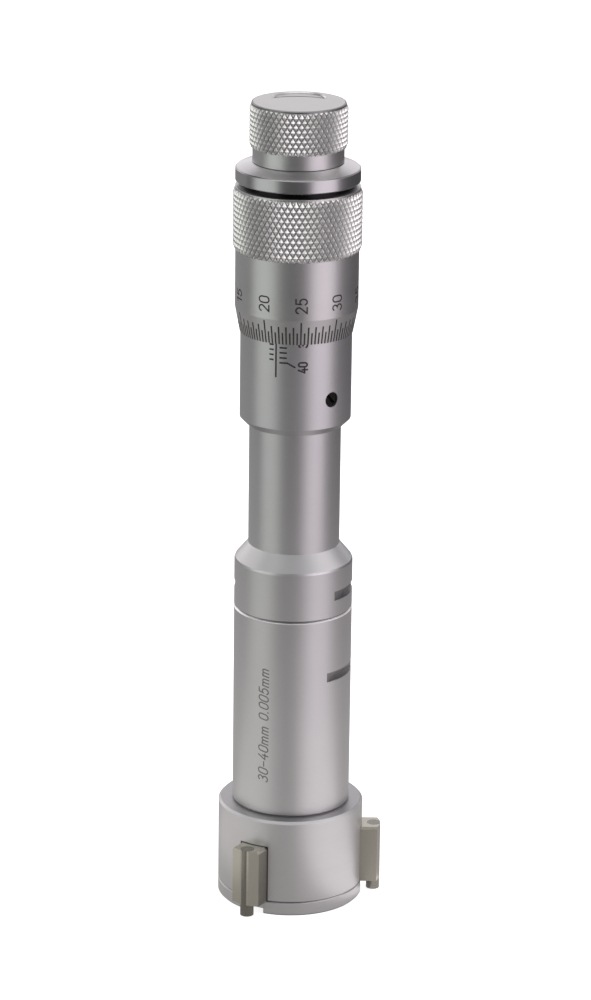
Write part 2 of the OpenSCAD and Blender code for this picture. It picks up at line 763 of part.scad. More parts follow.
module spindle() {
    plain_r = spindle_tip_d / 2;
    land_r = spindle_shoulder_d / 2;
    land_foot = web_foot - free_gap + slide_gap;
    screw_foot = web_foot - screw_l;
    taper_top = screw_foot + spindle_r - plain_r;
    color(ground_steel)
    turned([[0, spindle_foot], [plain_r, spindle_foot], [plain_r, screw_foot], [spindle_r, taper_top],
            [spindle_r, land_foot], [land_r, land_foot], [land_r, web_foot],
            [stub_r, web_foot], [stub_r, wheel_top], [0, wheel_top]]);
}

module thimble() {
    edge_r = thimble_bore_r + thimble_edge;
    lip_r = drum_core_r(grip_d / 2, grip_count);
    color(steel)
    difference() {
        union() {
            turned([[0, thimble_foot], [edge_r, thimble_foot], [thimble_r, bevel_top], [thimble_r, web_foot],
                    [lip_r, web_foot], [lip_r, thimble_top], [0, thimble_top]]);
            diamond_drum(grip_d / 2, grip_foot, grip_h - grip_lip_h, grip_count, grip_rows);
        }
        bore(thimble_bore_r, thimble_foot - cut, web_foot - thimble_foot + cut);
        bore(stub_r + seat_gap, web_foot - cut, web_h + 2 * cut);
    }
}

module thimble_nut() {
    flange_r = flange_d / 2;
    groove_r = groove_d / 2;
    neck_base_r = knob_neck_d / 2 + slide_gap;
    color(steel)
    difference() {
        turned([[0, thimble_top], [groove_r, thimble_top], [groove_r, flange_foot],
                [flange_r - flange_chamfer, flange_foot], [flange_r, flange_foot + flange_chamfer],
                [flange_r, flange_top - flange_chamfer], [flange_r - flange_chamfer, flange_top],
                [neck_base_r, crown_top], [hub_d / 2, crown_top], [hub_d / 2, hub_top], [0, hub_top]]);
        bore(stub_r + seat_gap, thimble_top - cut, hub_top - thimble_top + 2 * cut);
    }
}

module clutch_wheel() {
    teeth_h = disc_share * wheel_h;
    color(ground_steel)
    difference() {
        union() {
            bore(tooth_outer_r - free_gap, hub_top, teeth_h);
            saw_teeth(tooth_outer_r, tooth_inner_r, wheel_top - teeth_h, teeth_h);
        }
        bore(stub_r + seat_gap, hub_top - cut, wheel_h + 2 * cut);
    }
}

module clutch_ring() {
    disc_h = disc_share * clutch_ring_h;
    disc_foot = clutch_top - disc_h;
    color(ground_steel)
    difference() {
        union() {
            translate([0, 0, clutch_foot + tooth_h + disc_h])
                rotate([180, 0, 0])
                    saw_teeth(tooth_outer_r, tooth_inner_r, 0, disc_h);
            bore(clutch_r, disc_foot, disc_h);
            knob_lugs(0, disc_foot, disc_h);
        }
        bore(tooth_inner_r - free_gap, clutch_foot - cut, clutch_top - clutch_foot + 2 * cut);
    }
}

// Two lugs on the clutch ring, or the grooves for them
module knob_lugs(gap, foot, height) {
    reach = knob_bore_r + lug_reach + gap;
    translate([-reach, -lug_w / 2 - gap, foot])
        cube([2 * reach, lug_w + 2 * gap, height]);
}

module clutch_spring() {
    color(spring_steel)
    coil(clutch_spring_d / 2, clutch_wire_d / 2, clutch_top + seat_gap,
         knob_roof - clutch_top - 2 * seat_gap, clutch_spring_turns);
}

module retaining_ring() {
    reach = knob_d;
    half_gap = retainer_gap_deg / 2;
    color(spring_steel)
    difference() {
        tube(retainer_r, retainer_r - retainer_w, retainer_foot, retainer_h);
        translate([0, 0, retainer_foot - cut])
            linear_extrude(retainer_h + 2 * cut)
                polygon([[0, 0], [reach * cos(half_gap), -reach * sin(half_gap)],
                         [reach * cos(half_gap), reach * sin(half_gap)]]);
    }
}

module crescent() {
    difference() {
        translate([0, pocket_back])
            circle(r = pocket_r);
        translate([0, pocket_inner_back - pocket_inner_r])
            circle(r = pocket_inner_r);
    }
}

module ratchet_knob() {
    foot_r = knob_neck_d / 2;
    rim_r = drum_core_r(knob_d / 2, knob_count);
    edge = knob_rim_h / 2;
    color(steel)
    difference() {
        union() {
            turned([[0, knob_foot], [foot_r, knob_foot], [foot_r, knob_roof], [rim_r, knob_roof],
                    [rim_r, knob_top - edge], [rim_r - edge, knob_top], [0, knob_top]]);
            diamond_drum(knob_d / 2, knob_grip_foot, knob_grip_h - knob_rim_h, knob_count, knob_rows);
        }
        bore(knob_bore_r, knob_foot - cut, knob_roof - knob_foot + cut);
        bore(retainer_r + run_gap, retainer_foot - run_gap, retainer_h + 2 * run_gap);
        knob_lugs(run_gap, knob_foot - cut, knob_roof - knob_foot + cut);
        translate([0, 0, knob_top - pocket_depth])
            linear_extrude(pocket_depth + cut)
                crescent();
    }
}

measuring_head();
head_cover();
cover_screws();
ring_spring();
body_tube();
lower_guide();
upper_guide();
rod_spring();
stem();
spindle_nut();
adjusting_nut();
sleeve();
set_screw();
cone();
push_rod();
spring_collar();
thrust_ball();
spindle();
thimble();
thimble_nut();
clutch_wheel();
ratchet_knob();
clutch_ring();
clutch_spring();
retaining_ring();
anvil(1);  // anvil_1
anvil(2);  // anvil_2
anvil(3);  // anvil_3
contact_pin(1);  // contact_pin_1
contact_pin(2);  // contact_pin_2
contact_pin(3);  // contact_pin_3
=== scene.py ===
# %% [markdown]
# # An inside micrometer with three anvils
# The CAD model holds every piece at its real size, and this lesson gives it its looks: crisp
# diamond grips, engraved scales, satin chrome, ground steel, a camera and soft studio light.
# Blender works in the model's own frame, in metres, so every piece goes where the model says.

# %% Load the frame
import json
import math

import bmesh
import bpy
import numpy as np
from mathutils import Matrix, Vector


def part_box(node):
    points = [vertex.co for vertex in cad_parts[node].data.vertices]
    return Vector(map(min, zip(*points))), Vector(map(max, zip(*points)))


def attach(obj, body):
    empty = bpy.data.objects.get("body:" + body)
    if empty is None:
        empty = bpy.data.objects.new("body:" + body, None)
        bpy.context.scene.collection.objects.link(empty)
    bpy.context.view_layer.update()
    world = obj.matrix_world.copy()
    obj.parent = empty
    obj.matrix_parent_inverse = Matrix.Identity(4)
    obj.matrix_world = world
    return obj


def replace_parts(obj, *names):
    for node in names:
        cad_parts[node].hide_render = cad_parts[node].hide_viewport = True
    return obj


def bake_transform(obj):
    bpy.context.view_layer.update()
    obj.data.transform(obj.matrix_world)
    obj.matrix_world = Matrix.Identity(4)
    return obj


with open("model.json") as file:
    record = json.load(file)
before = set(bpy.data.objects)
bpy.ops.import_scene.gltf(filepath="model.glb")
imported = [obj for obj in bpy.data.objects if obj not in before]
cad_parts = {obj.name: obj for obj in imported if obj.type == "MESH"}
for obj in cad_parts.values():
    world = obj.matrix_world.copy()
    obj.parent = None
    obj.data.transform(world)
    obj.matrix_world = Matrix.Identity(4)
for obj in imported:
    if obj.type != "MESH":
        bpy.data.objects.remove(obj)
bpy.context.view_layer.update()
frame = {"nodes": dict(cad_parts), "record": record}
MM = 0.001
print("nodes in the frame:", len(frame["nodes"]))

# %% [markdown]
# ## Sizes from the frame
# A turned piece is known by its radius and by the heights of its two ends. These are read from
# the frame, so the scene follows the model when the model changes. The few sizes that a box
# can't tell, such as the height of a bevel, are named where they are first used.


# %% Measure a node
def turned_size(node):
    """Greatest radius, foot and top of a CAD node that stands on the axis, in millimetres."""
    low, high = (np.array(corner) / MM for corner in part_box(node))
    return max(*high[:2], *-low[:2]), low[2], high[2]


thimble_r, thimble_foot, thimble_top = turned_size("thimble")
sleeve_r = turned_size("sleeve")[0]
body_r, body_foot, body_top = turned_size("body_tube")
knob_r, knob_foot, knob_top = turned_size("ratchet_knob")
head_r, head_foot = turned_size("measuring_head")[:2]
print(f"thimble: radius {thimble_r:.2f} mm, from {thimble_foot:.2f} to {thimble_top:.2f} mm")

# %% [markdown]
# ## From arrays to a mesh
# Every new surface here is a grid: rows of points, each row one closed ring. The faces of such a
# grid are known in advance, so a single array of indices makes them, with no loop over points.
# Each square is cut into two triangles along the diagonal that its shape asks for.


# %% Points, faces and meshes from arrays
def turned_points(radius, z, columns):
    """Rows of points round the axis, one row for each height in z. A row's radius is one value for all its
    columns or a value for each. The columns stand at even angles a: x = r cos a, y = r sin a."""
    angle = np.arange(columns) * 2 * np.pi / columns
    radius, z = np.broadcast_arrays(radius, np.array(z, float)[:, None] + 0 * angle)
    return np.stack([radius * np.cos(angle), radius * np.sin(angle), z], -1)


def ring_faces(rows, columns, turned_diagonal=None):
    """Triangles between neighbouring rings: square (j, i) has corners (j, i), (j, i+1), (j+1, i+1)
    and (j+1, i), with i counted round the ring. It is cut from its second to its fourth corner,
    or from its first to its third where turned_diagonal is true."""
    j, i = np.meshgrid(np.arange(rows - 1), np.arange(columns), indexing="ij")
    after = (i + 1) % columns
    a, b, c, d = j * columns + i, j * columns + after, (j + 1) * columns + after, (j + 1) * columns + i
    turned = np.zeros(a.shape, bool) if turned_diagonal is None else turned_diagonal
    first = np.where(turned[..., None], np.stack([a, b, c], -1), np.stack([a, b, d], -1))
    second = np.where(turned[..., None], np.stack([a, c, d], -1), np.stack([b, c, d], -1))
    return np.concatenate([first.reshape(-1, 3), second.reshape(-1, 3)])


def mesh_from(name, points_mm, triangles):
    """A mesh from a (n, 3) array of points in millimetres and a (m, 3) array of corner numbers."""
    mesh = bpy.data.meshes.new(name)
    mesh.vertices.add(len(points_mm))
    mesh.vertices.foreach_set("co", (points_mm * MM).astype(np.float32).ravel())
    mesh.loops.add(triangles.size)
    mesh.loops.foreach_set("vertex_index", triangles.astype(np.int32).ravel())
    mesh.polygons.add(len(triangles))
    mesh.polygons.foreach_set("loop_start", np.arange(0, triangles.size, 3, dtype=np.int32))
    mesh.update(calc_edges=True)
    mesh.validate()
    return mesh


print("three rings of four points have", len(ring_faces(3, 4)), "triangles between them")

# %% [markdown]
# ## From a mesh to a piece
# A grid leaves doubles where an outline closes or where a ring shrinks to a point on the axis, so each
# mesh is welded. Then it becomes an object: smooth, with a crease wherever two faces meet at more than a
# given angle.


# %% Weld a mesh and place a piece
WELD_REACH = 1e-5  # in millimetres


def weld(mesh, last_ring=0):
    """Joins points that lie on each other and drops the faces that vanish with them. One flat face closes the
    last ring first, where its number of points is given."""
    bm = bmesh.new()
    bm.from_mesh(mesh)
    if last_ring:
        bm.verts.ensure_lookup_table()
        bm.faces.new(bm.verts[-last_ring:])
    bmesh.ops.remove_doubles(bm, verts=bm.verts, dist=WELD_REACH * MM)
    bmesh.ops.recalc_face_normals(bm, faces=bm.faces)
    bm.to_mesh(mesh)
    bm.free()
    return mesh


def place_piece(mesh, crease_deg):
    """Puts a mesh into the scene as a smooth piece with creases."""
    mesh.polygons.foreach_set("use_smooth", np.ones(len(mesh.polygons), bool))
    mesh.set_sharp_from_angle(angle=math.radians(crease_deg))
    piece = bpy.data.objects.new(mesh.name, mesh)
    bpy.context.scene.collection.objects.link(piece)
    print(f"{piece.name}: {len(mesh.vertices)} points, {len(mesh.polygons)} faces")
    return piece


# %% [markdown]
# ## Diamond knurling
# A knurl is two sets of V grooves rolled round a drum, one climbing to the left and one to the
# right. Where they cross, they leave rows of small pyramids. One could copy a single pyramid over
# the drum, but a height formula gives the same shape in one clean skin: unroll the drum, count
# diamonds round it (u) and up it (v), and the two sets of grooves lie where u + v and u - v are
# whole numbers. The tips of a real knurl are a little blunt, so the height is cut off near its top.

# %% Height of a diamond knurl
SAMPLES = 8  # points along the side of a diamond, both ways
BLUNT = 1.1  # how far the flanks would overshoot the blunt tips


def knurl_height(count, steps):
    """Rows by columns of knurl heights from 0 in a groove to 1 on a tip. A groove is a sawtooth that
    falls to 0 at whole numbers. The height is the lower one of the two sawteeth, blunted, and it runs
    out within one step of both ends. The second array marks squares that a falling groove crosses."""
    rows, columns = steps * SAMPLES // 2 + 1, count * SAMPLES
    j, i = np.meshgrid(np.arange(rows), np.arange(columns), indexing="ij")
    rise, fall = (i + j) / SAMPLES, (i - j) / SAMPLES
    sawteeth = [1 - np.abs(2 * (x % 1) - 1) for x in (rise, fall)]
    to_end = np.minimum(j, rows - 1 - j) / (SAMPLES / 2)
    height = np.minimum(np.minimum(*sawteeth) * BLUNT, 1)
    return np.minimum(height, to_end), (i - j) % SAMPLES == 0


test_patch = knurl_height(6, 4)[0]
print("a small test patch:", test_patch.shape, "heights from", test_patch.min(), "to", test_patch.max())

# %% [markdown]
# ## A skin with a grip
# Both knurled pieces are one skin each: plain rows below, the grip, and plain rows above. Two notes go
# into the mesh for its materials. One is the share of each point that is left unshaded, so that shade can be
# painted into the grooves, on the knob's top edge and in its pocket. The other is which faces belong to the
# grip, which take a brighter copy of the chrome as a painted highlight.

# %% Skin of a knurled piece
knurl_depth = 0.4


def knurled_skin(name, below, above, knurl, root_r, ends, unshaded_above=1.0):
    """A mesh of plain rows, a grip and plain rows. A grip row has the radius root + depth * height, at even
    heights between its ends. The unshaded share is 1 on the rows below, the knurl's height on the grip, so
    that shade is painted darkest deep in a groove, and unshaded_above on the rows above. Faces of the grip
    take the second material, a brighter copy of the chrome as a painted highlight."""
    heights, crossed = knurl
    columns = heights.shape[1]
    grip = turned_points(root_r + knurl_depth * heights, np.linspace(*ends, len(heights)), columns)
    points = np.concatenate([below, grip, above])
    first, after = len(below), len(below) + len(grip)
    diagonals = np.zeros((len(points) - 1, columns), bool)
    diagonals[first:after] = crossed
    mesh = mesh_from(name, points.reshape(-1, 3), ring_faces(len(points), columns, diagonals))
    unshaded = np.ones(points.shape[:2])
    unshaded[first:after] = heights
    unshaded[after:] = unshaded_above
    # the unshaded share goes into the mesh: where it is low, shade is painted into the base colour
    layer = mesh.attributes.new("unshaded", "FLOAT", "POINT")
    layer.data.foreach_set("value", unshaded.astype(np.float32).ravel())
    row = np.tile(np.repeat(np.arange(len(points) - 1), columns), 2)
    on_grip = (row >= first) & (row < after - 1)
    mesh.polygons.foreach_set("material_index", on_grip.astype(np.int32))
    print(f"{name}: {len(grip)} of {len(points)} rows are grip, {on_grip.sum()} faces")
    return mesh


# %% [markdown]
# ## Rounded outlines
# No turned edge is perfectly sharp: a fine break catches a thread of light, and that is how an eye
# knows steel from paper. So the outline of each new turned piece has its corners replaced by small
# arcs. Close beside each arc sits one more point, which keeps the smooth shading of the long faces
# flat right up to their edges.


# %% Round the corners of an outline
def rounded(outline, radius, steps=3, beside=1.6):
    """An open outline of (radius, height) corners with arcs at its inner corners. An arc starts at the
    distance radius * tan(half the turn) before its corner and ends as far after it, and its points turn
    evenly about its centre. The points beside it stand that distance times beside from the corner. The
    two ends of the outline stay."""
    outline = np.array(outline, float)
    before, corner, after = outline[:-2], outline[1:-1], outline[2:]
    along = (corner - before) / np.linalg.norm(corner - before, axis=1, keepdims=True)
    onward = (after - corner) / np.linalg.norm(after - corner, axis=1, keepdims=True)
    cross = along[:, 0] * onward[:, 1] - along[:, 1] * onward[:, 0]
    turn = np.arctan2(cross, (along * onward).sum(1))
    back = radius * np.tan(np.abs(turn) / 2)[:, None]
    left = np.stack([-along[:, 1], along[:, 0]], 1) * np.sign(turn)[:, None]
    centre = corner - along * back + left * radius
    part = np.linspace(0, 1, steps + 1)[None, :] * turn[:, None]
    cos, sin = np.cos(part)[..., None], np.sin(part)[..., None]
    spoke = -left[:, None, :] * radius
    across = np.stack([-spoke[..., 1], spoke[..., 0]], -1)
    arcs = centre[:, None, :] + spoke * cos + across * sin
    lead, trail = corner - along * back * beside, corner + onward * back * beside
    rows = np.concatenate([lead[:, None], arcs, trail[:, None]], 1).reshape(-1, 2)
    return np.concatenate([outline[:1], rows, outline[-1:]])


print("a rounded square corner has", len(rounded([(0, 0), (1, 0), (1, 1)], 0.1)) - 2, "points")

# %% [markdown]
# ## The thimble
# The thimble is the drum that a hand turns: a thin bevelled skirt, a plain barrel for the numbers, and
# the knurled grip. It is one piece of steel, so it is one skin here. The outline runs up the outside
# from the skirt, and back down the bore. The rows of the grip get the knurl's height on top.

# %% Thimble with its grip
bore_gap, skirt_edge, bevel_h, barrel_h = 0.09, 0.07, 4.9, 11.4
barrel_r, grip_count, grip_steps, lip_h = 11.93, 67, 12, 0.35
web_h, stub_bore_r, edge_break = 4.2, 3.52, 0.05
skirt_break = edge_break / 4
thimble_bore_r = sleeve_r + bore_gap
skirt_r = thimble_bore_r + skirt_edge
bevel_top = thimble_foot + bevel_h
grip_foot = bevel_top + barrel_h
lip_foot = thimble_top - lip_h
web_foot = thimble_top - web_h
grip_root_r = thimble_r - knurl_depth
TURNED_CREASE = 25

skirt = rounded([(thimble_bore_r, thimble_foot), (skirt_r, thimble_foot), (barrel_r, bevel_top),
                 (barrel_r, grip_foot), (grip_root_r, grip_foot)], skirt_break)
inside = rounded([(grip_root_r, lip_foot), (grip_root_r, thimble_top), (stub_bore_r, thimble_top),
                  (stub_bore_r, web_foot), (thimble_bore_r, web_foot), (thimble_bore_r, thimble_foot)],
                 edge_break)
thimble_rows = [turned_points(part[:, :1], part[:, 1], grip_count * SAMPLES) for part in (skirt, inside)]
thimble_mesh = knurled_skin("thimble_skin", *thimble_rows, knurl_height(grip_count, grip_steps), grip_root_r,
                            (grip_foot, lip_foot))
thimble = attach(place_piece(weld(thimble_mesh), TURNED_CREASE), "thimble_unit")
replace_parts(thimble, "thimble")

# %% [markdown]
# ## The ratchet knob
# The knob is a knurled cap over the ratchet. Its flat top has a crescent pocket, for a finger tip.
# A boolean cut would leave long thin triangles round such a pocket. Here the top is a fan of straight
# lines instead: each point of the rim is joined to its own point of the crescent's edge, then the
# lines turn down the pocket's wall, and one flat face closes its floor. The bore keeps the two
# grooves for the clutch ring's lugs and the groove for the retaining ring.

# %% Crescent outline
knob_count, knob_steps = 52, 9
knob_columns = knob_count * SAMPLES
knob_angle = np.arange(knob_columns) * 2 * np.pi / knob_columns
pocket_r, pocket_back, pocket_inner_r, pocket_inner_back = 5.0, 3.35, 8.0, 4.1
first_horn = 29  # the column that ends in the right horn
last_horn = knob_columns // 2 - first_horn


def crescent(front, back):
    """Edge of the crescent, one point for each column, drawn in at its front and its back. Two circles meet
    in two horns. Columns between the horns run evenly along the outer circle, and the others back along
    the inner one."""
    outer_r, inner_r = pocket_r - back, pocket_inner_r + front
    inner_y = pocket_inner_back - pocket_inner_r
    gap = pocket_back - inner_y
    horn_y = inner_y + (inner_r**2 - outer_r**2 + gap**2) / (2 * gap)
    horn_x = math.sqrt(outer_r**2 - (horn_y - pocket_back) ** 2)
    outer_horn = math.atan2(horn_y - pocket_back, horn_x)
    inner_horn = math.atan2(horn_y - inner_y, horn_x)
    column = (np.arange(knob_columns) - first_horn) % knob_columns
    outer_columns = last_horn - first_horn
    on_outer = column <= outer_columns
    inner_columns = knob_columns - outer_columns
    part = np.where(on_outer, column / outer_columns, (knob_columns - column) / inner_columns)
    outer = outer_horn + part * (np.pi - 2 * outer_horn)
    inner = inner_horn + part * (np.pi - 2 * inner_horn)
    x = np.where(on_outer, outer_r * np.cos(outer), inner_r * np.cos(inner))
    y = np.where(on_outer, pocket_back + outer_r * np.sin(outer), inner_y + inner_r * np.sin(inner))
    return np.stack([x, y], -1)


print("crescent reaches", crescent(0, 0).max(0).round(2), "mm to the right and to the back")

# %% Bore and neck of the knob
knob_neck_r, knob_grip_h, knob_bore_r, knob_roof_h = 8.8, 8.65, 7.2, 2.1
lug_groove_r, lug_groove_half_w = 8.05, 1.05
retainer_groove_r, retainer_groove_h, retainer_groove_lift = 7.75, 0.8, 0.65
knob_root_r = knob_r - knurl_depth
knob_grip_foot = knob_top - knob_grip_h
knob_roof = knob_top - knob_roof_h
groove_foot = knob_foot + retainer_groove_lift
groove_roof = groove_foot + retainer_groove_h
TINY = 1e-6


def bore_with_lug_grooves():
    """Radius of the bore at each column: the round bore, or further out to the sides and the end of the
    two lug grooves, which are a straight strip across the bore."""
    side = lug_groove_half_w / np.maximum(np.abs(np.sin(knob_angle)), TINY)
    end = lug_groove_r / np.maximum(np.abs(np.cos(knob_angle)), TINY)
    return np.maximum(knob_bore_r, np.minimum(end, side))


bore = bore_with_lug_grooves()
wide = np.maximum(bore, retainer_groove_r)
bore_z = [knob_roof, knob_roof, groove_roof, groove_roof, groove_foot, groove_foot, knob_foot]
bore_rows = turned_points([0 * bore, bore, bore, wide, wide, bore, bore], bore_z, knob_columns)
neck = rounded([(knob_bore_r, knob_foot), (knob_neck_r, knob_foot), (knob_neck_r, knob_grip_foot),
                (knob_root_r, knob_grip_foot)], edge_break)[1:]
neck_rows = turned_points(neck[:, :1], neck[:, 1], knob_columns)
print("rows below the knob's grip:", len(bore_rows) + len(neck_rows))

# %% Top of the knob, with its pocket
rim_h, rim_break, pocket_rim, pocket_depth, pocket_slope = 0.3, 0.1, 0.18, 0.25, 0.1
# how far the painted shadow reaches onto the pocket's floor from its front and back walls, and where it has
# faded out
shadow_front, shadow_back, shadow_end_front, shadow_end_back = 1.45, 0.2, 1.95, 0.6
line_shares = np.array([0.035, 0.06, 0.3, 0.6, 0.9, 1])
knob_lip = knob_top - rim_h
pocket_floor = knob_top - pocket_depth


def at_heights(xy, z):
    """Rows of flat points, with one height for all rows or one for each."""
    z = np.broadcast_to(np.reshape(z, (-1, 1)), xy.shape[:2])
    return np.concatenate([xy, z[..., None]], -1)


rim = rounded([(knob_root_r, knob_lip), (knob_root_r, knob_top - rim_break),
               (knob_root_r - rim_break, knob_top), (knob_bore_r, knob_top)], edge_break)[1:-1]
rim_rows = turned_points(rim[:, :1], rim[:, 1], knob_columns)
edge = crescent(0, 0)
spread = np.stack([np.cos(knob_angle), np.sin(knob_angle)], -1)
rim_xy = rim[-1, 0] * spread
line_rows = at_heights(rim_xy + (edge + pocket_rim * spread - rim_xy) * line_shares[:, None, None], knob_top)
wall_rows = at_heights(np.array([edge, crescent(pocket_slope, pocket_slope), crescent(shadow_front, shadow_back),
                                 crescent(shadow_end_front, shadow_end_back)]),
                       [knob_top - pocket_rim, pocket_floor, pocket_floor, pocket_floor])
print("rows above the knob's grip:", len(rim_rows) + len(line_rows) + len(wall_rows))

# %% Painted shade on the knob's top and in its pocket, and the finished piece
# painted shade on the knob's top edge and in its pocket, darkest at the horns: these are the shares left
# unshaded
rim_unshaded, corner_unshaded = 0.03, -0.1
along_arc = (0, 0.06, 0.1, 0.5, 0.62, 0.88, 0.93, 1)  # from the right horn to the left one
unshaded_along_arc = (corner_unshaded, corner_unshaded, 0, 0, 1, 1, corner_unshaded, corner_unshaded)
top_rows = np.concatenate([rim_rows, line_rows, wall_rows])
top_unshaded = np.ones(top_rows.shape[:2])
top_unshaded[:len(rim_rows) + 1] = rim_unshaded
pocket_unshaded = top_unshaded[-3:-1]  # the foot of the pocket's wall, and the painted shadow on the floor beside it
pocket_unshaded[:] = corner_unshaded
pocket_unshaded[:, first_horn:last_horn + 1] = np.interp(np.linspace(0, 1, last_horn - first_horn + 1), along_arc,
                                                     unshaded_along_arc)
knob_mesh = knurled_skin("knob_skin", np.concatenate([bore_rows, neck_rows]), top_rows,
                         knurl_height(knob_count, knob_steps), knob_root_r, (knob_grip_foot, knob_lip),
                         top_unshaded)
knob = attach(place_piece(weld(knob_mesh, knob_columns), TURNED_CREASE), "ratchet_unit")
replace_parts(knob, "ratchet_knob")

# %% [markdown]
# ## Springs as wires
# Two springs work out of sight. One lifts the rod again and is pressed together when the cone goes down,
# and a ring spring in the foot draws the anvils in. Stiff copies would cut through their neighbours when
# the thimble turns. Here each is a wire carried along a path: the rod's spring is a coil with closed ends,
# and the ring is three arcs, one round each anvil.


# %% Wire round the axis
WIRE_SIDES, TURN_STEPS, WIRE_CREASE = 12, 48, 60


def wire_along(name, angle, z, mean_r, wire_r):
    """A round wire that goes round the axis, with a height for each angle. Its section is a circle in the
    upright plane through the axis, and a fan of triangles closes each end."""
    side = np.arange(WIRE_SIDES) * 2 * np.pi / WIRE_SIDES
    angle, z = np.array(angle)[:, None], np.broadcast_to(z, len(angle))[:, None]
    r = mean_r + wire_r * np.cos(side)
    points = np.stack([r * np.cos(angle), r * np.sin(angle), z + wire_r * np.sin(side)], -1)
    k = np.arange(1, WIRE_SIDES - 1)
    fan = np.stack([0 * k, k + 1, k], 1)
    faces = [ring_faces(len(points), WIRE_SIDES), fan, fan[:, ::-1] + (len(points) - 1) * WIRE_SIDES]
    mesh = weld(mesh_from(name, points.reshape(-1, 3), np.concatenate(faces)))
    return place_piece(mesh, WIRE_CREASE)


# %% Rod spring
rod_wire_r, rod_turns, closed_share = 0.6, 7, 1.05
rod_spring_r, rod_spring_foot, rod_spring_top = turned_size("rod_spring")
closed_rise = 2 * rod_wire_r * closed_share
first_z, last_z = rod_spring_foot + rod_wire_r, rod_spring_top - rod_wire_r
turns = np.linspace(0, rod_turns, rod_turns * TURN_STEPS + 1)
coil_z = np.interp(turns, (0, 1, rod_turns - 1, rod_turns),
                   (first_z, first_z + closed_rise, last_z - closed_rise, last_z))
rod_spring = wire_along("rod_spring_wire", turns * 2 * np.pi, coil_z, rod_spring_r - rod_wire_r, rod_wire_r)
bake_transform(rod_spring)
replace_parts(rod_spring, "rod_spring")
springs = [rod_spring]

# %% Ring spring, a third for each anvil
anvil_degs = {"anvil_unit_1": 0, "anvil_unit_2": 120, "anvil_unit_3": 240}
half_third = 60
ring_outer_r, ring_foot, ring_top = turned_size("ring_spring")
ring_wire_r = (ring_top - ring_foot) / 2
ring_r = ring_outer_r - ring_wire_r
for body, degrees in anvil_degs.items():
    ring_angle = np.radians(degrees + np.linspace(-half_third, half_third, TURN_STEPS))
    third = wire_along("ring_" + body, ring_angle, ring_foot + ring_wire_r, ring_r, ring_wire_r)
    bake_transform(third)
    springs.append(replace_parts(third, "ring_spring"))

# %% [markdown]
# ## Engraved marks
# The scales and numbers are cut with a round graver that follows a single line, then filled with
# black. A text object would give printed letters with thick and thin parts. Here each mark is a path
# instead, and a flat bar is carried along it: the same width everywhere, lying on the steel.
# Paths are drawn on paper first, in millimetres, and then wrapped round the axis.


# %% Carry a bar along a path
MITRE_LIMIT = 0.5  # at a sharp corner, a bar grows to twice its width at most


def fine(path, spacing=0.2):
    """The path with points added until no step is longer than the spacing, so that a straight stroke bends
    with the steel it lies on. Each step is cut into equal pieces."""
    path = np.array(path, float)
    step = np.diff(path, axis=0)
    pieces = np.ceil(np.linalg.norm(step, axis=1) / spacing).astype(int)
    which = np.repeat(np.arange(len(step)), pieces)
    part = (np.arange(len(which)) - np.repeat(np.cumsum(pieces) - pieces, pieces)) / pieces[which]
    return np.concatenate([path[which] + step[which] * part[:, None], path[-1:]])


def bar_along(path, width):
    """Left and right edges of a bar along a path of (x, y) points: each point moves at right angles to the
    mean direction of its two steps, by half the width, or more at a corner. The ends grow by half the
    width."""
    path = fine(path)
    step = np.diff(path, axis=0)
    step /= np.linalg.norm(step, axis=1, keepdims=True)
    path[0] -= step[0] * width / 2
    path[-1] += step[-1] * width / 2
    before, after = np.concatenate([step[:1], step]), np.concatenate([step, step[-1:]])
    tangent = before + after
    tangent /= np.linalg.norm(tangent, axis=1, keepdims=True)
    corner = np.maximum((tangent * after).sum(1), MITRE_LIMIT)
    normal = np.stack([-tangent[:, 1], tangent[:, 0]], 1) * (width / 2 / corner)[:, None]
    return path + normal, path - normal


print("a straight bar has", len(bar_along([(0, 0), (1, 0)], 0.1)[0]), "points on each side")

# %% Wrap many bars into one piece
MARK_PROUD, MARK_SUNK, MARK_CREASE = 0.006, 0.03, 40


def wrapped_bars(name, strokes, width, place, body):
    """A piece of many bars. place turns flat (x, y) points and a height over the steel into points in
    space. Each bar has four corners at every point of its path: two proud of the steel and two in it."""
    points, faces, count = [], [], 0
    for path in strokes:
        left, right = bar_along(path, width)
        rings = np.stack([place(left, MARK_PROUD), place(right, MARK_PROUD), place(right, -MARK_SUNK),
                          place(left, -MARK_SUNK)], 1)
        end = 4 * len(rings) - 4
        caps = np.array([[0, 2, 1], [0, 3, 2], [end, end + 1, end + 2], [end, end + 2, end + 3]])
        faces.append(np.concatenate([ring_faces(len(rings), 4), caps]) + count)
        points.append(rings.reshape(-1, 3))
        count += 4 * len(rings)
    mesh = weld(mesh_from(name, np.concatenate(points), np.concatenate(faces)))
    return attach(place_piece(mesh, MARK_CREASE), body)


# %% [markdown]
# ## A graver's alphabet
# Only a few signs are needed: the digits 0 to 5, m, a dash and a point. Each is drawn in a box one unit
# high, from straight lines and arcs, as an engraving machine does it. Writing a word is then adding up
# the widths.


# %% Signs as strokes
def arc(x, y, rx, ry, start_deg, end_deg, steps=10):
    """Points of an ellipse about (x, y) from one angle to another."""
    a = np.radians(np.linspace(start_deg, end_deg, steps + 1))
    return np.stack([x + rx * np.cos(a), y + ry * np.sin(a)], 1)


def joined(*parts):
    """One stroke from several, without points that repeat."""
    points = np.concatenate([np.atleast_2d(np.array(part, float)) for part in parts])
    fresh = np.concatenate([[True], np.linalg.norm(np.diff(points, axis=0), axis=1) > TINY])
    return points[fresh]


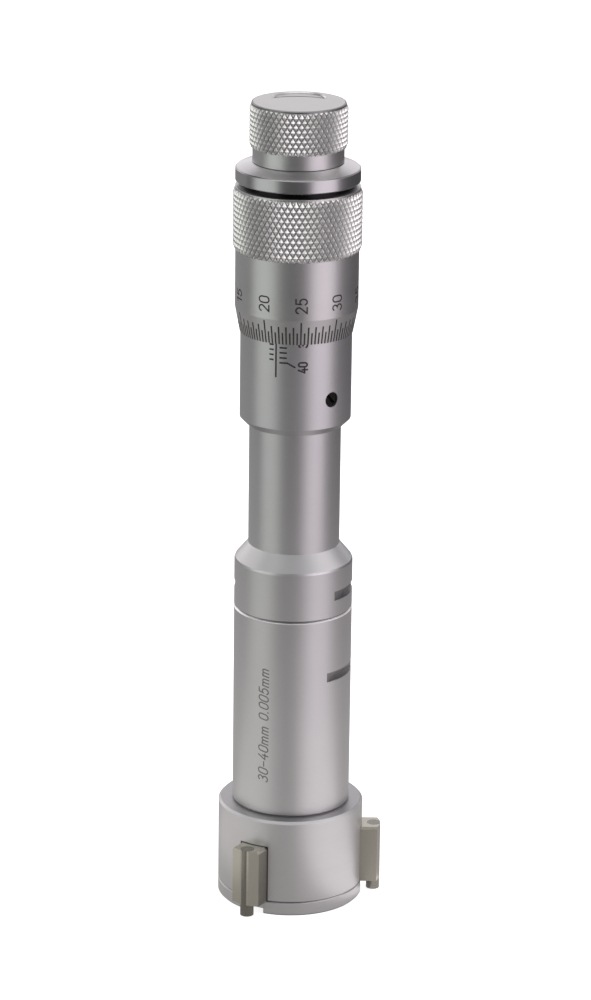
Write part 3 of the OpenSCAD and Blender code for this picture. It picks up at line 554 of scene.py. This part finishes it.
SIGNS = {
    "0": (0.55, [joined(arc(0.275, 0.72, 0.275, 0.28, 0, 180), arc(0.275, 0.28, 0.275, 0.28, 180, 360),
                        (0.55, 0.72))]),
    "1": (0.35, [joined((0.05, 0.78), (0.3, 1), (0.3, 0))]),
    "2": (0.55, [joined(arc(0.275, 0.73, 0.265, 0.27, 165, -35), (0.02, 0), (0.55, 0))]),
    "3": (0.55, [joined(arc(0.265, 0.755, 0.235, 0.245, 150, -90),
                        arc(0.265, 0.255, 0.275, 0.255, 90, -150))]),
    "4": (0.6, [joined((0.34, 1), (0.02, 0.3), (0.6, 0.3)), joined((0.43, 0.55), (0.43, 0))]),
    "5": (0.55, [joined((0.5, 1), (0.1, 1), (0.05, 0.52), arc(0.265, 0.325, 0.275, 0.325, 130, -150))]),
    "m": (0.8, [joined((0.04, 0), (0.04, 0.62)),
                joined((0.04, 0.4), arc(0.22, 0.42, 0.18, 0.2, 180, 0, 6), (0.4, 0)),
                joined((0.4, 0.4), arc(0.58, 0.42, 0.18, 0.2, 180, 0, 6), (0.76, 0))]),
    "-": (0.5, [joined((0.03, 0.42), (0.47, 0.42))]),
    ".": (0.12, [joined((0.06, 0.0), (0.06, 0.03))]),
    " ": (0.3, []),
}
LETTER_GAP = 0.24


def written(text, height, width_share=1.0, slant=0.0):
    """Strokes of a text that starts at (0, 0), and its length. Each sign starts where the last one ended plus
    a gap, everything grows to the height, a share makes signs and gaps narrower, and a slant leans the
    upper points forward."""
    strokes, x = [], 0.0
    for sign in text:
        width, parts = SIGNS[sign]
        flat = [(part + [x, 0]) * [width_share, 1] + part[:, 1:] * [slant, 0] for part in parts]
        strokes += [part * height for part in flat]
        x += width + LETTER_GAP
    return strokes, (x - LETTER_GAP) * width_share * height


print("the number 25 is", round(written("25", 2.5)[1], 2), "mm long")

# %% [markdown]
# ## From paper to steel
# A drawing on paper becomes a drawing on a drum when its width is taken as a length round the drum.
# Every number on this instrument reads upwards, so a text is turned by a quarter before it is wrapped.


# %% Wrap flat points round a drum
def at_angle(radius, angle, z):
    """Points at a radius, an angle from the front to the right, and a height."""
    return np.stack([radius * np.sin(angle), -radius * np.cos(angle), z], 1)


def unrolled(radius):
    """A function that wraps flat points round a drum: x is a length round it from the front, y is the height,
    and the radius grows by the height over the steel."""
    def place(flat, over):
        return at_angle(radius + over, flat[:, 0] / radius, flat[:, 1])
    return place


def arc_mm(degrees, radius):
    """Length along the surface of an angle, or of several."""
    return np.radians(degrees) * radius


def upright(text, height, middle, radius, width_share=1.0, slant=0.0):
    """A text that reads upwards, centred on an (angle, height) place: its x runs up and its y to the left."""
    strokes, length = written(text, height, width_share, slant)
    x = arc_mm(middle[0], radius)
    return [np.stack([x + height / 2 - s[:, 1], middle[1] - length / 2 + s[:, 0]], 1) for s in strokes]


print("10 degrees on the sleeve are", round(arc_mm(10, sleeve_r), 2), "mm")

# %% [markdown]
# ## The sleeve's scale
# The sleeve carries one upright line, with a tick for each millimetre on its right and for each half
# on its left. Every fifth millimetre has a small bent leader to its number, which reads upwards.
# The thimble covers most of this scale and uncovers it as it is screwed up.

# %% Sleeve scale
range_min, range_max, reading, numbered_every = 30, 40, 36.215, 5
mark_of_max = thimble_foot - (range_max - reading)
index_deg, index_drop, index_rise, mark_w = -20.6, 2.8, 1, 0.33
mm_tick_deg, half_tick_deg, half_step = (-16.1, -10.1), (-27.1, -24.0), 0.5
leader_deg, leader_drop = (-16.1, -8.4, -1.2), 0.75
number_deg, number_h, number_drop, number_share = 7.2, 1.65, 0.85, 0.87


def sleeve_strokes():
    """All strokes of the sleeve's scale, in millimetres along the surface and up."""
    def level_line(degrees, z):
        return [(x, z) for x in arc_mm(degrees, sleeve_r)]
    index_x = arc_mm(index_deg, sleeve_r)
    line_top = mark_of_max + range_max - range_min + index_rise
    strokes = [[(index_x, mark_of_max - index_drop), (index_x, line_top)]]
    for size in range(range_min, range_max + 1):
        z = mark_of_max + range_max - size
        if size > range_min:
            strokes.append(level_line(half_tick_deg, z + half_step))
        if size % numbered_every:
            strokes.append(level_line(mm_tick_deg, z))
            continue
        start, bend, end = arc_mm(leader_deg, sleeve_r)
        strokes.append([(start, z), (bend, z), (end, z - leader_drop)])
        strokes += upright(str(size), number_h, (number_deg, z - number_drop), sleeve_r, number_share)
    return strokes


sleeve_scale = wrapped_bars("sleeve_scale", sleeve_strokes(), mark_w, unrolled(sleeve_r), "instrument_body")

# %% [markdown]
# ## The thimble's scale
# One turn of the thimble is half a millimetre, cut into 50 parts with a short tick between each two, so
# the smallest step is 0.005 mm. The ticks stand on the bevel, which brings them down to the sleeve's
# line without a step, and the numbers stand on the barrel above them.

# %% Thimble ticks
divisions, number_every, at_index = 50, 5, 21.5
division_deg = 360 / divisions
tick_long, tick_unit, tick_half, tick_lift = 4.4, 3.4, 2.2, 0.12


def on_bevel(flat, over):
    """Points on the bevel: x is a length at the barrel's radius, and the radius grows evenly with the height
    from the skirt's edge to the barrel."""
    radius = skirt_r + (barrel_r - skirt_r) * (flat[:, 1] - thimble_foot) / bevel_h + over
    return at_angle(radius, flat[:, 0] / barrel_r, flat[:, 1])


def bevel_ticks():
    """One upright stroke for each half division: long at the numbers, then units, then halves."""
    strokes = []
    for half in range(2 * divisions):
        x = arc_mm(index_deg + (half / 2 - at_index) * division_deg, barrel_r)
        rise = tick_half if half % 2 else tick_unit if half % (2 * number_every) else tick_long
        strokes.append([(x, thimble_foot + tick_lift), (x, thimble_foot + rise)])
    return strokes


thimble_ticks = wrapped_bars("thimble_ticks", bevel_ticks(), mark_w, on_bevel, "thimble_unit")

# %% Thimble numbers
barrel_number_h, barrel_number_middle, thin_mark_w = 2.15, 2.95, 0.29


def barrel_numbers():
    """The numbers 0 to 45, each over its own tick."""
    strokes = []
    for number in range(0, divisions, number_every):
        place = (index_deg + (number - at_index) * division_deg, bevel_top + barrel_number_middle)
        strokes += upright(str(number), barrel_number_h, place, barrel_r)
    return strokes


thimble_numbers = wrapped_bars("thimble_numbers", barrel_numbers(), thin_mark_w, unrolled(barrel_r),
                               "thimble_unit")

# %% [markdown]
# ## The range on the body
# The range and the smallest step are lightly etched up the body, in leaning letters. They are greyer
# than the scales, because an etched mark is only a dull place in the chrome.

# %% Body marking
marking_deg, marking_middle, marking_h, marking_w = -28.3, 38.8, 2.05, 0.25
marking_share, marking_slant = 0.965, 0.2
marking_strokes = upright("30-40mm 0.005mm", marking_h, (marking_deg, marking_middle), body_r, marking_share,
                          marking_slant)
marking = wrapped_bars("range_marking", marking_strokes, marking_w, unrolled(body_r), "instrument_body")

# %% [markdown]
# ## Nodes in short
# A material is a tree of nodes, and writing it link by link is long. Most nodes here are made by one
# call that says what feeds them: a socket is linked, and a plain value is set.


# %% Helpers for node trees
def feed(tree, made, *values, **named):
    """Gives a node its inputs, in order or by name: a socket is linked, and any other value is set."""
    sockets = list(zip(made.inputs, values))
    sockets += [(made.inputs[name.replace("_", " ")], value) for name, value in named.items()]
    for socket, value in sockets:
        if isinstance(value, bpy.types.NodeSocket):
            tree.links.new(value, socket)
        else:
            socket.default_value = value


def node(tree, kind, *values, operation=None, **named):
    """Adds a node with its inputs, and gives its outputs."""
    made = tree.nodes.new("ShaderNode" + kind)
    if operation:
        made.operation = operation
    feed(tree, made, *values, **named)
    return made.outputs


def maths(tree, operation, *values):
    """The result of a Math node."""
    return node(tree, "Math", *values, operation=operation)["Value"]


def colour_mix(tree, factor, first, second, blend="MIX"):
    """The colour of a Mix node."""
    made = tree.nodes.new("ShaderNodeMix")
    made.data_type, made.blend_type = "RGBA", blend
    feed(tree, made, Factor=factor, A=first, B=second)
    return made.outputs["Result"]


def new_group(name, numbers, vectors=("Vector",)):
    """A shader node group with vector inputs, float inputs with defaults, and one Value output. Gives the
    group and what it is given."""
    group = bpy.data.node_groups.new(name, "ShaderNodeTree")
    for title in vectors:
        group.interface.new_socket(title, in_out="INPUT", socket_type="NodeSocketVector")
    for title, value in numbers.items():
        socket = group.interface.new_socket(title, in_out="INPUT", socket_type="NodeSocketFloat")
        socket.default_value = value
    group.interface.new_socket("Value", in_out="OUTPUT", socket_type="NodeSocketFloat")
    return group, group.nodes.new("NodeGroupInput").outputs


def giving(group, value):
    """The group, with a socket as its result."""
    feed(group, group.nodes.new("NodeGroupOutput"), Value=value)
    return group


# %% [markdown]
# ## Shared effects
# Three things happen to nearly every metal here, so each is a node group with its own inputs. Turning
# leaves fine rings round the axis. Satin plating is a fine even grain. And no plating is quite one
# colour, so a soft cloud shifts its tone. The groups put out plain values, and each material decides
# what to do with them.


# %% Rings, grain and cloud
def off_axis(group, place):
    """A place without its height: the way out to it from the axis."""
    return node(group, "VectorMath", place, (1, 1, 0), operation="MULTIPLY")["Vector"]


def radius_and_height(group, place):
    """A place's distance from the axis, and its height."""
    radius = node(group, "VectorMath", off_axis(group, place), operation="LENGTH")["Value"]
    return radius, node(group, "SeparateXYZ", place)["Z"]


def turning_rings():
    """Noise that only knows the distance from the axis and the height, so it makes rings on a turned face and
    on a turned side alike."""
    group, given = new_group("turning_rings", {"Per metre": 9000.0})
    radius, height = radius_and_height(group, given["Vector"])
    section = node(group, "CombineXYZ", X=radius, Z=height)["Vector"]
    return giving(group, node(group, "TexNoise", Vector=section, Scale=given["Per metre"], Detail=2.0,
                              Roughness=0.6)[0])


def noise_group(name, per_metre, detail):
    """Even noise in space, with its fineness as an input."""
    group, given = new_group(name, {"Per metre": per_metre})
    return giving(group, node(group, "TexNoise", Vector=given["Vector"], Scale=given["Per metre"],
                              Detail=detail, Roughness=0.55)[0])


RINGS = turning_rings()
GRAIN = noise_group("satin_grain", 9000.0, 1.0)
CLOUD = noise_group("tone_cloud", 90.0, 2.0)
print("groups:", [group.name for group in (RINGS, GRAIN, CLOUD)])

# %% [markdown]
# ## Metals
# All the metals share one recipe: a base colour that drifts between two near tones, a roughness that
# follows the rings, and a very shallow bump made of rings and grain. What makes them different is the
# numbers: satin chrome is pale and soft, ground steel is warmer and streaky, hard metal is dark.


# %% Metal recipe
NOISE_LOW, NOISE_HIGH = 0.3, 0.7  # nearly all of a noise lies between these


def new_material(name):
    """A material with nodes, its tree and its shader."""
    material = bpy.data.materials.new(name)
    material.use_nodes = True
    return material, material.node_tree, material.node_tree.nodes["Principled BSDF"]


def coordinates(tree):
    """The outputs of a tree's one Texture Coordinate node."""
    found = [n for n in tree.nodes if n.type == "TEX_COORD"]
    return found[0].outputs if found else node(tree, "TexCoord")


def placed(tree, group, **values):
    """The result of a node group that is placed on Object coordinates with its own values."""
    made = tree.nodes.new("ShaderNodeGroup")
    made.node_tree = group
    feed(tree, made, Vector=coordinates(tree)["Object"], **values)
    return made.outputs[0]


def metal(name, tones, roughness, rings, grain, bump_um):
    """A metal with two near tones, a (low, high) roughness, the fineness of its rings and grain per metre,
    and the depth of its bump in thousandths of a millimetre."""
    material, tree, shader = new_material(name)
    turned = placed(tree, RINGS, Per_metre=rings)
    tone = colour_mix(tree, placed(tree, CLOUD), (*tones[0], 1), (*tones[1], 1))
    dull = node(tree, "MapRange", Value=turned, From_Min=NOISE_LOW, From_Max=NOISE_HIGH, To_Min=roughness[0],
                To_Max=roughness[1])[0]
    relief = maths(tree, "ADD", turned, placed(tree, GRAIN, Per_metre=grain))
    bump = node(tree, "Bump", Strength=1.0, Distance=bump_um * 1e-6, Height=relief)[0]
    feed(tree, shader, Metallic=1.0, Base_Color=tone, Roughness=dull, Normal=bump)
    return material


RECIPES = {
    "satin_chrome": (((0.66, 0.65, 0.66), (0.7, 0.69, 0.7)), (0.4, 0.46), 6000, 9000, 1.5),
    "bright_steel": (((0.62, 0.61, 0.62), (0.66, 0.65, 0.66)), (0.27, 0.33), 5000, 6000, 0.6),
    "ground_steel": (((0.36, 0.345, 0.295), (0.42, 0.4, 0.35)), (0.28, 0.36), 4000, 5000, 0.8),
    "carbide": (((0.22, 0.21, 0.18), (0.27, 0.26, 0.23)), (0.22, 0.3), 4000, 5000, 0.4),
    "bronze": (((0.6, 0.42, 0.2), (0.66, 0.47, 0.24)), (0.25, 0.35), 4000, 5000, 1.5),
    "spring_steel": (((0.33, 0.34, 0.37), (0.38, 0.39, 0.42)), (0.25, 0.32), 5000, 5000, 1.0),
    "black_steel": (((0.02, 0.02, 0.02), (0.035, 0.033, 0.03)), (0.35, 0.5), 4000, 6000, 2.0),
}
METALS = {slot: metal(slot, *recipe) for slot, recipe in RECIPES.items()}
print("metals:", sorted(METALS))

# %% [markdown]
# ## Painted shade
# Shade is painted into the base colour where little light falls: at the bottom of the knurl's grooves, on
# the knob's top edge, in the corners and along the walls of the knob's pocket, and in the narrow groove under
# the flange. All of them get the same treatment. A mask says where a point lies, and the base colour is
# multiplied by a factor there. For the knurl and the pocket the mask is the unshaded share that was kept in
# the mesh, and for the flange it is simply the height above the foot.


# %% Shade by a mask
def shade(material, mask, full, none, factor):
    """Multiplies the base colour by a factor where the mask is at its full value or beyond it. On the way to
    the other value, the factor goes back to one. A factor above one makes a place brighter."""
    tree = material.node_tree
    shader = tree.nodes["Principled BSDF"]
    clean = shader.inputs["Base Color"].links[0].from_socket
    share = node(tree, "MapRange", Value=mask, From_Min=full, From_Max=none, To_Min=factor, To_Max=1.0)[0]
    feed(tree, shader, Base_Color=colour_mix(tree, 1.0, clean, share, "MULTIPLY"))


def shade_height(material, full, none, factor):
    """Shades by the height above the foot, in millimetres."""
    tree = material.node_tree
    height = node(tree, "SeparateXYZ", coordinates(tree)["Object"])["Z"]
    shade(material, height, full * MM, none * MM, factor)


# %% Grips and flange
shade_full, shade_none = -0.1, 0.3
plain_shade, grip_shade = 0.13, 0.2
groove_h, groove_soft, groove_shade = 1.05, 0.1, 0.03
knurl_roughness = (0.38, 0.44)
plain_tones = ((0.68, 0.67, 0.67), (0.72, 0.71, 0.71))
# painted highlight: the grip takes a brighter copy of the same chrome
highlight_grip_tones = ((0.88, 0.87, 0.86), (0.92, 0.91, 0.9))

knurled_chrome = metal("knurled_chrome", plain_tones, knurl_roughness, *RECIPES["satin_chrome"][2:])
highlight_grip_chrome = metal("highlight_grip_chrome", highlight_grip_tones, knurl_roughness, *RECIPES["satin_chrome"][2:])
# painted shade: the base colour darkens where the unshaded share is low, in the knurl's grooves, on the
# knob's top edge and in its pocket
for chrome, shade_factor in ((knurled_chrome, plain_shade), (highlight_grip_chrome, grip_shade)):
    unshaded_node = chrome.node_tree.nodes.new("ShaderNodeAttribute")
    unshaded_node.attribute_name = "unshaded"
    shade(chrome, unshaded_node.outputs["Fac"], shade_full, shade_none, shade_factor)
flange_steel = metal("flange_steel", *RECIPES["bright_steel"])
groove_top = thimble_top + groove_h
# painted shade in the narrow groove under the flange, almost black
shade_height(flange_steel, groove_top - groove_soft, groove_top, groove_shade)
print("dark places in", knurled_chrome.name, highlight_grip_chrome.name, "and", flange_steel.name)

# %% [markdown]
# ## Seams and slots
# Where two turned pieces meet, a fine chamfer leaves a seam in shade, and the slots for a spanner lie in
# shade too, so shade is painted on both. A seam is a range of heights. A slot is a range of heights too, but
# only where the surface lies deeper than the round outside, so its mask also asks for the distance from the
# axis.


# %% Slots of the body, the collar and the flange
def recess():
    """A group that gives 0 inside a slot and 1 outside. The height's distance from the slot's middle and the
    depth below the outer radius are each turned into a yes or no, and both have to say yes."""
    group, given = new_group("recess", {"Middle": 0.0, "Half height": 0.001, "Radius": 0.01})
    radius, height = radius_and_height(group, given["Vector"])
    deep = maths(group, "LESS_THAN", radius, given["Radius"])
    within = maths(group, "COMPARE", height, given["Middle"], given["Half height"])
    return giving(group, maths(group, "SUBTRACT", 1.0, maths(group, "MULTIPLY", deep, within)))


RECESS = recess()


def shade_recess(material, middle, half_h, radius, factor):
    """Shades what lies deeper than a radius in a range of heights, all in millimetres."""
    mask = placed(material.node_tree, RECESS, Middle=middle * MM, Half_height=half_h * MM, Radius=radius * MM)
    shade(material, mask, 0.0, 1.0, factor)


slot_half_h, slot_depth, collar_slot_rise, body_slot_drop = 1.0, 0.04, 4.4, 12.2
body_slot_shade, collar_slot_shade = 0.72, 0.62
flange_h, flange_edge, flange_edge_depth, flange_edge_shade = 2.7, 0.2, 0.02, 0.4
body_chrome, collar_chrome, head_chrome = (metal(piece + "_chrome", *RECIPES["satin_chrome"])
                                           for piece in ("body", "collar", "head"))
# painted shade in the spanner slots of the body and the collar
shade_recess(body_chrome, body_top - body_slot_drop, slot_half_h, body_r - slot_depth, body_slot_shade)
shade_recess(collar_chrome, body_top + collar_slot_rise, slot_half_h, body_r - slot_depth, collar_slot_shade)
flange_rim = groove_top + flange_h - flange_edge / 2
# painted shade on the flange's top chamfer, which dims its highlight
shade_recess(flange_steel, flange_rim, flange_edge / 2, turned_size("thimble_nut")[0] - flange_edge_depth,
             flange_edge_shade)
print("slots at", round(body_top - body_slot_drop, 2), "and", round(body_top + collar_slot_rise, 2), "mm")

# %% Seams, and a painted highlight on the body's top edge
seam_h, seam_soft, seam_shade = 0.2, 0.05, 0.25
edge_full, edge_none, edge_highlight = 0.36, 0.42, 1.42  # below the body's top
ring_full, ring_none, ring_shade = 0.03, 0.06, 0.72  # below the body's foot, on top of the head
# painted shade on the lower chamfers of the collar and the head, at their seams
for chrome, seam in ((collar_chrome, body_top), (head_chrome, head_foot)):
    shade_height(chrome, seam + seam_h, seam + seam_h + seam_soft, seam_shade)
# painted highlight: a band just under the body's top is made brighter
shade_height(body_chrome, body_top - edge_full, body_top - edge_none, edge_highlight)
# painted shade on top of the head, round the body's foot
shade_height(head_chrome, body_foot - ring_full, body_foot - ring_none, ring_shade)
print("seams at", round(body_top, 2), "and", round(head_foot, 2), "mm")

# %% [markdown]
# ## Mouths of the anvils' slots
# The head has three slots for the anvils, and their walls lie in the dark, so shade is painted round their
# mouths. A mask for one slot could be copied three times, but the angle round the axis can also be folded,
# so that all three slots fall on one place.


# %% Slot mouths
def slot_mouths():
    """A group that is below 1 at the anvils' slots. The angle from the nearest anvil goes up and down three
    times round the axis. It is divided by the slot's half angle, the height by the slot's top, and the
    larger one counts."""
    group, given = new_group("slot_mouths", {"Half angle": 0.2, "Top": 0.02})
    parts = node(group, "SeparateXYZ", given["Vector"])
    from_anvil = maths(group, "PINGPONG", maths(group, "ARCTAN2", parts["Y"], parts["X"]), math.pi / 3)
    across = maths(group, "DIVIDE", from_anvil, given["Half angle"])
    return giving(group, maths(group, "MAXIMUM", across, maths(group, "DIVIDE", parts["Z"], given["Top"])))


mouth_gap, mouth_inside, mouth_shade = 0.2, 0.99, 0.3
anvil_side, anvil_top = np.array(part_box("anvil_1")[1])[1:] / MM
mouth = placed(head_chrome.node_tree, slot_mouths(), Half_angle=math.asin((anvil_side + mouth_gap) / head_r),
               Top=(anvil_top + mouth_gap) * MM)
# painted shade on the head round the mouths of the anvils' slots
shade(head_chrome, mouth, mouth_inside, 1.0, mouth_shade)
print("slot mouths reach", round(anvil_top + mouth_gap, 2), "mm up")

# %% [markdown]
# ## Ground anvils
# The faces of an anvil that look outwards and upwards are finely ground and bright. Its two sides, which
# slide in the slot, get painted shade and come out darker. Which face is which shows in its normal, so the
# mask compares the normal with the direction away from the axis and with the upward direction, and takes the
# larger one.


# %% Painted shade on the anvils' sides
def outward_faces():
    """A group that gives 1 on faces that look away from the axis or upwards, and 0 on the sides: the larger
    of normal * outward direction and normal * up."""
    group, given = new_group("outward_faces", {}, ("Vector", "Normal"))
    outward = node(group, "VectorMath", off_axis(group, given["Vector"]), operation="NORMALIZE")["Vector"]
    along = node(group, "VectorMath", outward, given["Normal"], operation="DOT_PRODUCT")["Value"]
    return giving(group, maths(group, "MAXIMUM", along, node(group, "SeparateXYZ", given["Normal"])["Z"]))


side_full, side_none, side_shade = 0.3, 0.6, 0.6
anvil_tones = ((0.49, 0.47, 0.405), (0.55, 0.53, 0.465))
anvil_steel = metal("anvil_steel", anvil_tones, *RECIPES["ground_steel"][1:])
anvil_normal = coordinates(anvil_steel.node_tree)["Normal"]
anvil_mask = placed(anvil_steel.node_tree, outward_faces(), Normal=anvil_normal)
# painted shade on the sides of the anvils
shade(anvil_steel, anvil_mask, side_full, side_none, side_shade)
print("dull sides in", anvil_steel.name)

# %% [markdown]
# ## Black filling
# The lacquer in the engraved marks is matt and nearly black, and it thins out a little here and there.
# One flat black would look printed, so its tone drifts with the same cloud that the metals use, but finer.

# %% Filling for marks
filling_per_metre, filling_roughness = 3000.0, 0.6


def filling(name, dark, pale):
    """A matt filling whose tone drifts between dark and pale with a fine cloud."""
    material, tree, shader = new_material(name)
    cloud = placed(tree, CLOUD, Per_metre=filling_per_metre)
    tone = colour_mix(tree, cloud, (*dark, 1), (*pale, 1))
    feed(tree, shader, Base_Color=tone, Roughness=filling_roughness)
    return material


scale_black = filling("scale_black", (0.008, 0.007, 0.007), (0.03, 0.026, 0.024))
etched_grey = filling("etched_grey", (0.075, 0.075, 0.068), (0.15, 0.145, 0.135))
print("fillings:", scale_black.name, etched_grey.name)

# %% [markdown]
# ## Every piece gets its finish
# The model's record names a finish for each node, and most nodes simply take that metal. A few have
# materials of their own, with painted shade at seams, slots, grooves and sides and a painted highlight on the
# body's top edge. The new pieces get theirs last.

# %% Give every piece its finish
own_finish = {"thimble_nut": flange_steel, "body_tube": body_chrome, "stem": collar_chrome,
              "measuring_head": head_chrome, "anvil_1": anvil_steel, "anvil_2": anvil_steel,
              "anvil_3": anvil_steel}
recorded = {part["node"]: METALS[part["material_slot"]] for part in frame["record"]["subparts"]}
for name, part in frame["nodes"].items():
    for material_slot in part.material_slots:
        material_slot.material = own_finish.get(name, recorded[name])
new_pieces = [((thimble, knob), (knurled_chrome, highlight_grip_chrome)), (springs, (METALS["spring_steel"],)),
              ((sleeve_scale, thimble_ticks, thimble_numbers), (scale_black,)), ((marking,), (etched_grey,))]
for pieces, finishes in new_pieces:
    for piece in pieces:
        for finish in finishes:
            piece.data.materials.append(finish)
print("finished nodes:", len(frame["nodes"]))

# %% [markdown]
# ## Floor
# The instrument stands on a white sheet that glows evenly, as a light table does, so hardly a shadow is
# left. Such a sheet would also fill the lower half of every reflection and make the steel flat. So the
# floor is kept out of reflections, and a small round sheet close to the foot takes its place there. It
# fades out with the distance, and shines more at a flat angle, as smooth paper does.


# %% Floor
def stage_sheet(name, points, material):
    """A flat sheet through points in metres, which belongs to the stage and not to the object."""
    mesh = bpy.data.meshes.new(name)
    mesh.from_pydata(points, [], [range(len(points))])
    mesh.materials.append(material)
    sheet = bpy.data.objects.new(name, mesh)
    bpy.context.scene.collection.objects.link(sheet)
    sheet.visible_shadow = False
    return sheet


floor_half, paper_white, paper_roughness, paper_glow = 4.0, (0.9, 0.9, 0.9, 1), 0.9, 0.85
light_table, table_tree, table_shader = new_material("light_table")
feed(table_tree, table_shader, Base_Color=paper_white, Roughness=paper_roughness, Specular_IOR_Level=0.0,
     Emission_Color=(1, 1, 1, 1), Emission_Strength=paper_glow)
floor_corners = np.array([(-1, -1, 0), (1, -1, 0), (1, 1, 0), (-1, 1, 0)]) * floor_half
floor = stage_sheet("floor", floor_corners, light_table)
floor.visible_glossy = False
print("floor:", 2 * floor_half, "m wide")

# %% Sheet that is only seen in reflections
near_r, near_sides, near_drop, fade_start = 0.36, 48, MM, 0.1
steep_facing, flat_facing, steep_glow, flat_glow = 0.3, 0.6, 0.1, 0.5
sheen_colour = (1, 0.97, 0.95, 1)


def sheen_of_paper():
    """A glow that fades out with the distance from the object and is stronger at a flat angle: a mix of glow
    and clear, by the distance, where the glow's strength follows the angle."""
    material, tree, shader = new_material("near_paper")
    tree.nodes.remove(shader)
    away = node(tree, "VectorMath", coordinates(tree)["Object"], operation="LENGTH")["Value"]
    fade = node(tree, "MapRange", Value=away, From_Min=fade_start, From_Max=near_r, To_Min=1.0, To_Max=0.0)[0]
    facing = node(tree, "LayerWeight", Blend=0.5)["Facing"]
    strength = node(tree, "MapRange", Value=facing, From_Min=steep_facing, From_Max=flat_facing,
                    To_Min=steep_glow, To_Max=flat_glow)[0]
    glow = node(tree, "Emission", Color=sheen_colour, Strength=strength)[0]
    mix = node(tree, "MixShader", fade, node(tree, "BsdfTransparent")[0], glow)[0]
    feed(tree, tree.nodes["Material Output"], Surface=mix)
    return material


near_points = turned_points(near_r, [-near_drop], near_sides)[0]
near_paper = stage_sheet("near_paper", near_points, sheen_of_paper())
near_paper.visible_camera = False
near_paper.visible_diffuse = False
print("near paper:", near_sides, "sides")

# %% [markdown]
# ## Light
# Metal shows its surroundings, so the light is the look. Two upright soft boxes stand beside the camera, a
# cool one on the left and a warmer one on the right, and between them the steel stays dark. Walls that
# stand higher shine on the shoulders and on the knurl, and two cards on the table lighten the head from
# below. A back light and a top light give the flat tops their shine. All are plain soft rectangles.


# %% Lights
def soft_box(name, place, aim, size, radiance, colour):
    """A rectangular light at a place, turned to its aim. Its power is radiance * pi * area, so a light keeps
    its brightness in reflections when its size changes."""
    lamp = bpy.data.lights.new(name, "AREA")
    lamp.shape = "RECTANGLE"
    lamp.size, lamp.size_y = size
    lamp.energy = radiance * math.pi * size[0] * size[1]
    lamp.color = colour
    box = bpy.data.objects.new(name, lamp)
    bpy.context.scene.collection.objects.link(box)
    box.location = place
    box.rotation_euler = (Vector(aim) - Vector(place)).to_track_quat("-Z", "Y").to_euler()
    box.visible_camera = False


def wall(name, azimuth_deg, width_deg, radiance, colour, low=-0.5, high=0.3, distance=0.6):
    """An upright soft box that faces the axis. Its azimuth counts from the camera's side to the right, and
    its width is an angle seen from the axis."""
    a = math.radians(azimuth_deg)
    middle = (low + high) / 2
    width = 2 * distance * math.tan(math.radians(width_deg / 2))
    place = (distance * math.sin(a), -distance * math.cos(a), middle)
    soft_box(name, place, (0, 0, middle), (width, high - low), radiance, colour)


wall("left_box", -62, 50, 0.65, (0.945, 1.0, 0.945))
wall("right_box", 51, 50, 1.0, (1.0, 0.915, 0.985))
wall("left_back_fill", -140, 70, 0.2, (1, 1, 1))
wall("left_high", -66, 60, 1.5, (0.98, 1.0, 0.97), low=0.3, high=0.5)
wall("right_high", 62, 70, 1.9, (1.0, 0.97, 0.99), low=0.3, high=0.5)
wall("front_high", -5, 64, 0.4, (1, 1, 1), low=0.3, high=0.48)
wall("left_arc", -115, 70, 0.75, (1.0, 0.98, 0.96), low=0.27, high=0.6)
wall("right_arc", 96, 80, 0.68, (1.0, 0.97, 0.98), low=0.37, high=0.9)
soft_box("left_card", (-0.075, -0.03, 0), (-0.075, -0.03, 1), (0.09, 0.12), 0.3, (1.0, 0.98, 0.95))
soft_box("right_card", (0.06, -0.055, 0), (0.06, -0.055, 1), (0.09, 0.12), 0.52, (1.0, 0.96, 0.97))
soft_box("back_light", (-0.05, 0.8, 0.39), (0, 0, 0.1), (1.6, 0.57), 0.97, (1.0, 0.97, 0.99))
soft_box("top_light", (0, -0.06, 1.0), (0, -0.06, 0), (1.2, 0.52), 1.7, (1, 1, 1))
print("lights:", len(bpy.data.lights))

# %% Dim studio around
world_colour, world_strength = (0.95, 0.96, 1.0, 1), 0.065
world = bpy.data.worlds.new("studio")
world.use_nodes = True
feed(world.node_tree, world.node_tree.nodes["Background"], Color=world_colour, Strength=world_strength)
bpy.context.scene.world = world
bpy.context.scene.view_settings.view_transform = "Standard"
print("world strength:", world_strength)

# %% [markdown]
# ## Camera
# The photograph was taken from a little above, through a long lens, so upright lines stay nearly parallel.
# The camera's place, its pitch and its small roll follow from heights and widths of the instrument that
# are known. The three directions of the camera are the columns of its turn.

# %% Camera
picture_h, focal_px = 1000, 4232.3
camera_place = (0.26, -786.8, 342.1)
pitch_deg, roll_deg = 18.274, 0.716
lens = bpy.data.cameras.new("camera")
lens.sensor_width = 36
lens.lens = focal_px * lens.sensor_width / picture_h
camera = bpy.data.objects.new("camera", lens)
pitch, roll = math.radians(pitch_deg), math.radians(roll_deg)
level_right = Vector((1, 0, 0))
level_up = Vector((0, math.sin(pitch), math.cos(pitch)))
forward = Vector((0, math.cos(pitch), -math.sin(pitch)))
right = math.cos(roll) * level_right + math.sin(roll) * level_up
up = math.cos(roll) * level_up - math.sin(roll) * level_right
camera_turn = Matrix((right, up, -forward)).transposed()
camera.matrix_world = Matrix.Translation(Vector(camera_place) * MM) @ camera_turn.to_4x4()
bpy.context.scene.collection.objects.link(camera)
bpy.context.scene.camera = camera
print("camera lens:", round(lens.lens, 2), "mm")
